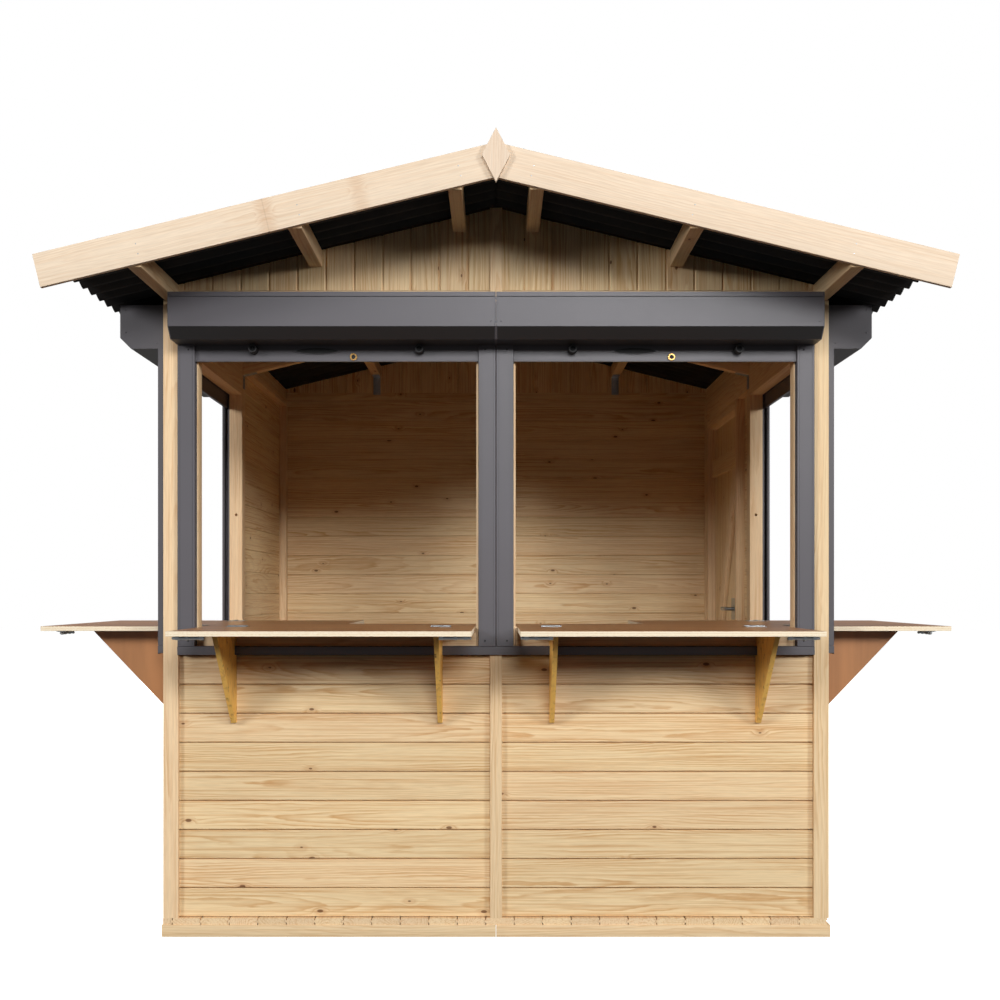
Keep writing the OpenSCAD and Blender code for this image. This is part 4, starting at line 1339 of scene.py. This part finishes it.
class TrimGables(bpy.types.Operator):
    """Trims the gables with bargeboards and a diamond where they meet."""

    bl_idname = "stall.trim_gables"
    bl_label = "Trim Gables"

    def execute(self, context):
        stock = Stock(130)
        (a, b), = [box for box in solids("bargeboards") if box[0][0] > 0 and box[0][1] < 0]
        thick, deep = b[1] - a[1], 0.115
        foot = np.array([a[0], a[1], b[2] - deep * SLOPE])
        # the ridge cut is plumb and the far end is cut square
        length = (b[0] - a[0]) * SLOPE - PITCH * deep
        for end, side in QUARTERS:
            stock.stand([side * X, -end * Y, Z])
            bar(stock, oblong(thick, deep), foot, Y, RISE, length, start=(0, -PITCH))
        self.nails(stock, a, b, deep)
        stock.build("bargeboards", "timber", "planed_spruce", pale_spruce, plated_steel)
        stock = Stock(131)
        for low, high in solids("diamonds"):
            x, z = (high[0] - low[0]) / 2, (low[2] + high[2]) / 2
            half = (high[2] - low[2]) / 2
            outline = eased([(-x, z), (0, z - half), (x, z), (0, z + half)], 0.001)
            along_y(stock, outline, low[1], high[1], fibre=1)
        stock.build("diamonds", "timber", "planed_spruce", pale_spruce, edge=0.0015)
        return {"FINISHED"}

    @staticmethod
    def nails(stock, a, b, deep):
        """Small nail heads where each bargeboard is fixed to a purlin."""
        head = [(0.0022, -0.001), (0.0022, 0.0003), (0.001, 0.0006)]
        for end, side in QUARTERS:
            stock.stand([side * X, -end * Y, Z])
            for low, high in PURLINS:
                x = (low[0] + high[0]) / 2
                for share in (0.42, 0.72):
                    spot = np.array([x, a[1], b[2] - PITCH * x]) - RISE * deep * share
                    turned(stock, head, spot, -Y, 8, 1)


class SetStage(bpy.types.Operator):
    """Sets the pale floor, the soft lights and the camera."""

    bl_idname = "stall.set_stage"
    bl_label = "Set Stage"

    def execute(self, context):
        scene = bpy.context.scene
        scene.view_settings.view_transform = "Standard"
        self.floor()
        self.world(scene)
        height = sizes().light_height
        self.light("key", (1.8, -13.0, height), (0, 0, 1.4), (4.5, 2.6), 715.0)
        self.light("fill_left", (-9.0, -9.5, height - 0.6), (0, -1.2, 1.3), (3.0, 2.6), 680.0)
        self.light("fill_right", (9.0, -9.5, height - 0.6), (0, -1.2, 1.3), (3.0, 2.6), 680.0)
        self.light("top", (0, 1.5, 9.0), (0, 1.49, 0), (8.0, 6.0), 260.0)
        self.light("back", (-3.0, 12.0, 4.5), (0, 1.2, 1.2), (5.0, 4.0), 800.0)
        self.light("left", (-11.0, 5.5, 4.0), (-1.2, 0.6, 1.2), (4.0, 3.0), 420.0)
        self.light("right", (11.0, 5.5, 4.0), (1.2, 0.6, 1.2), (4.0, 3.0), 420.0)
        data = bpy.data.cameras.new("camera")
        data.lens, data.sensor_width = 45.36, 36.0
        data.shift_x, data.shift_y = 0.004, 0.0924
        camera = bpy.data.objects.new("camera", data)
        camera.location = (0, -5.98, 1.293)
        camera.rotation_euler = (math.radians(90), 0, 0)
        scene.collection.objects.link(camera)
        scene.camera = camera
        return {"FINISHED"}

    @staticmethod
    def floor():
        """A wide disc just under the stall."""
        turn = np.arange(64) * math.tau / 64
        rim = np.stack([40 * np.cos(turn), 40 * np.sin(turn), np.zeros(64)], -1)
        mesh = bpy.data.meshes.new("studio_floor")
        mesh.from_pydata(rim.tolist(), [], [list(range(64))])
        mesh.materials.append(finish_of(studio_floor))
        floor = bpy.data.objects.new("studio_floor", mesh)
        bpy.context.scene.collection.objects.link(floor)
        floor.visible_diffuse = floor.visible_glossy = False

    @staticmethod
    def world(scene):
        """White round the stall, and a softer white as its light."""
        world = bpy.data.worlds.new("studio")
        scene.world = world
        world.use_nodes = True
        tree = world.node_tree
        tree.nodes.clear()
        path = add(tree, "ShaderNodeLightPath").outputs
        glow = times(tree, path["Is Glossy Ray"], 0.25, "MULTIPLY_ADD", 0.03)
        white = add(tree, "ShaderNodeBackground", {"Color": (1, 1, 1, 1), "Strength": 1.0}).outputs[0]
        soft = add(tree, "ShaderNodeBackground", {"Color": (0.97, 0.985, 1, 1), "Strength": glow}).outputs[0]
        mix = add(tree, "ShaderNodeMixShader", {0: path["Is Camera Ray"], 1: soft, 2: white}).outputs[0]
        add(tree, "ShaderNodeOutputWorld", {"Surface": mix})

    @staticmethod
    def light(name, place, target, size, power):
        """A soft box, wide and high, that looks at a target."""
        data = bpy.data.lights.new(name, "AREA")
        data.shape, data.energy = "RECTANGLE", power
        data.size, data.size_y = size
        lamp = bpy.data.objects.new(name, data)
        lamp.visible_glossy = place[1] < 0
        place, target = np.array(place), np.array(target)
        way = target - place
        lamp.location = place
        lamp.rotation_euler = (math.acos(way[2] / -np.linalg.norm(way)), 0, math.atan2(-way[0], way[1]))
        bpy.context.scene.collection.objects.link(lamp)


STEPS = (SetStage, LayBase, BoardWalls, BoardGables, RaisePosts, FixTrims, FitShutters, HangCounters,
         FitHardware, FixBrackets, FitWorktops, HangDoor, FrameRoof, CoverRoof, TrimGables)


class StallPanel(bpy.types.Panel):
    """Lists the steps, sizes and colours of the stall."""

    bl_idname = "VIEW3D_PT_stall"
    bl_label = "Market Stall"
    bl_space_type = "VIEW_3D"
    bl_region_type = "UI"
    bl_category = "Stall"

    def draw(self, context):
        for step in STEPS:
            self.layout.operator(step.bl_idname)
        for group in (context.scene.stall_sizes, context.scene.stall_colours):
            for name in group.__annotations__:
                self.layout.prop(group, name)


CLASSES = (StallColours, StallSizes, *STEPS, StallPanel)


def register():
    for cls in CLASSES:
        bpy.utils.register_class(cls)
    bpy.types.Scene.stall_colours = bpy.props.PointerProperty(type=StallColours)
    bpy.types.Scene.stall_sizes = bpy.props.PointerProperty(type=StallSizes)


def unregister():
    del bpy.types.Scene.stall_sizes
    del bpy.types.Scene.stall_colours
    for cls in reversed(CLASSES):
        bpy.utils.unregister_class(cls)


def main():
    """Builds everything."""
    register()
    for step in STEPS:
        getattr(bpy.ops.stall, step.bl_idname.split(".")[1])()


if __name__ == "__main__":
    main()
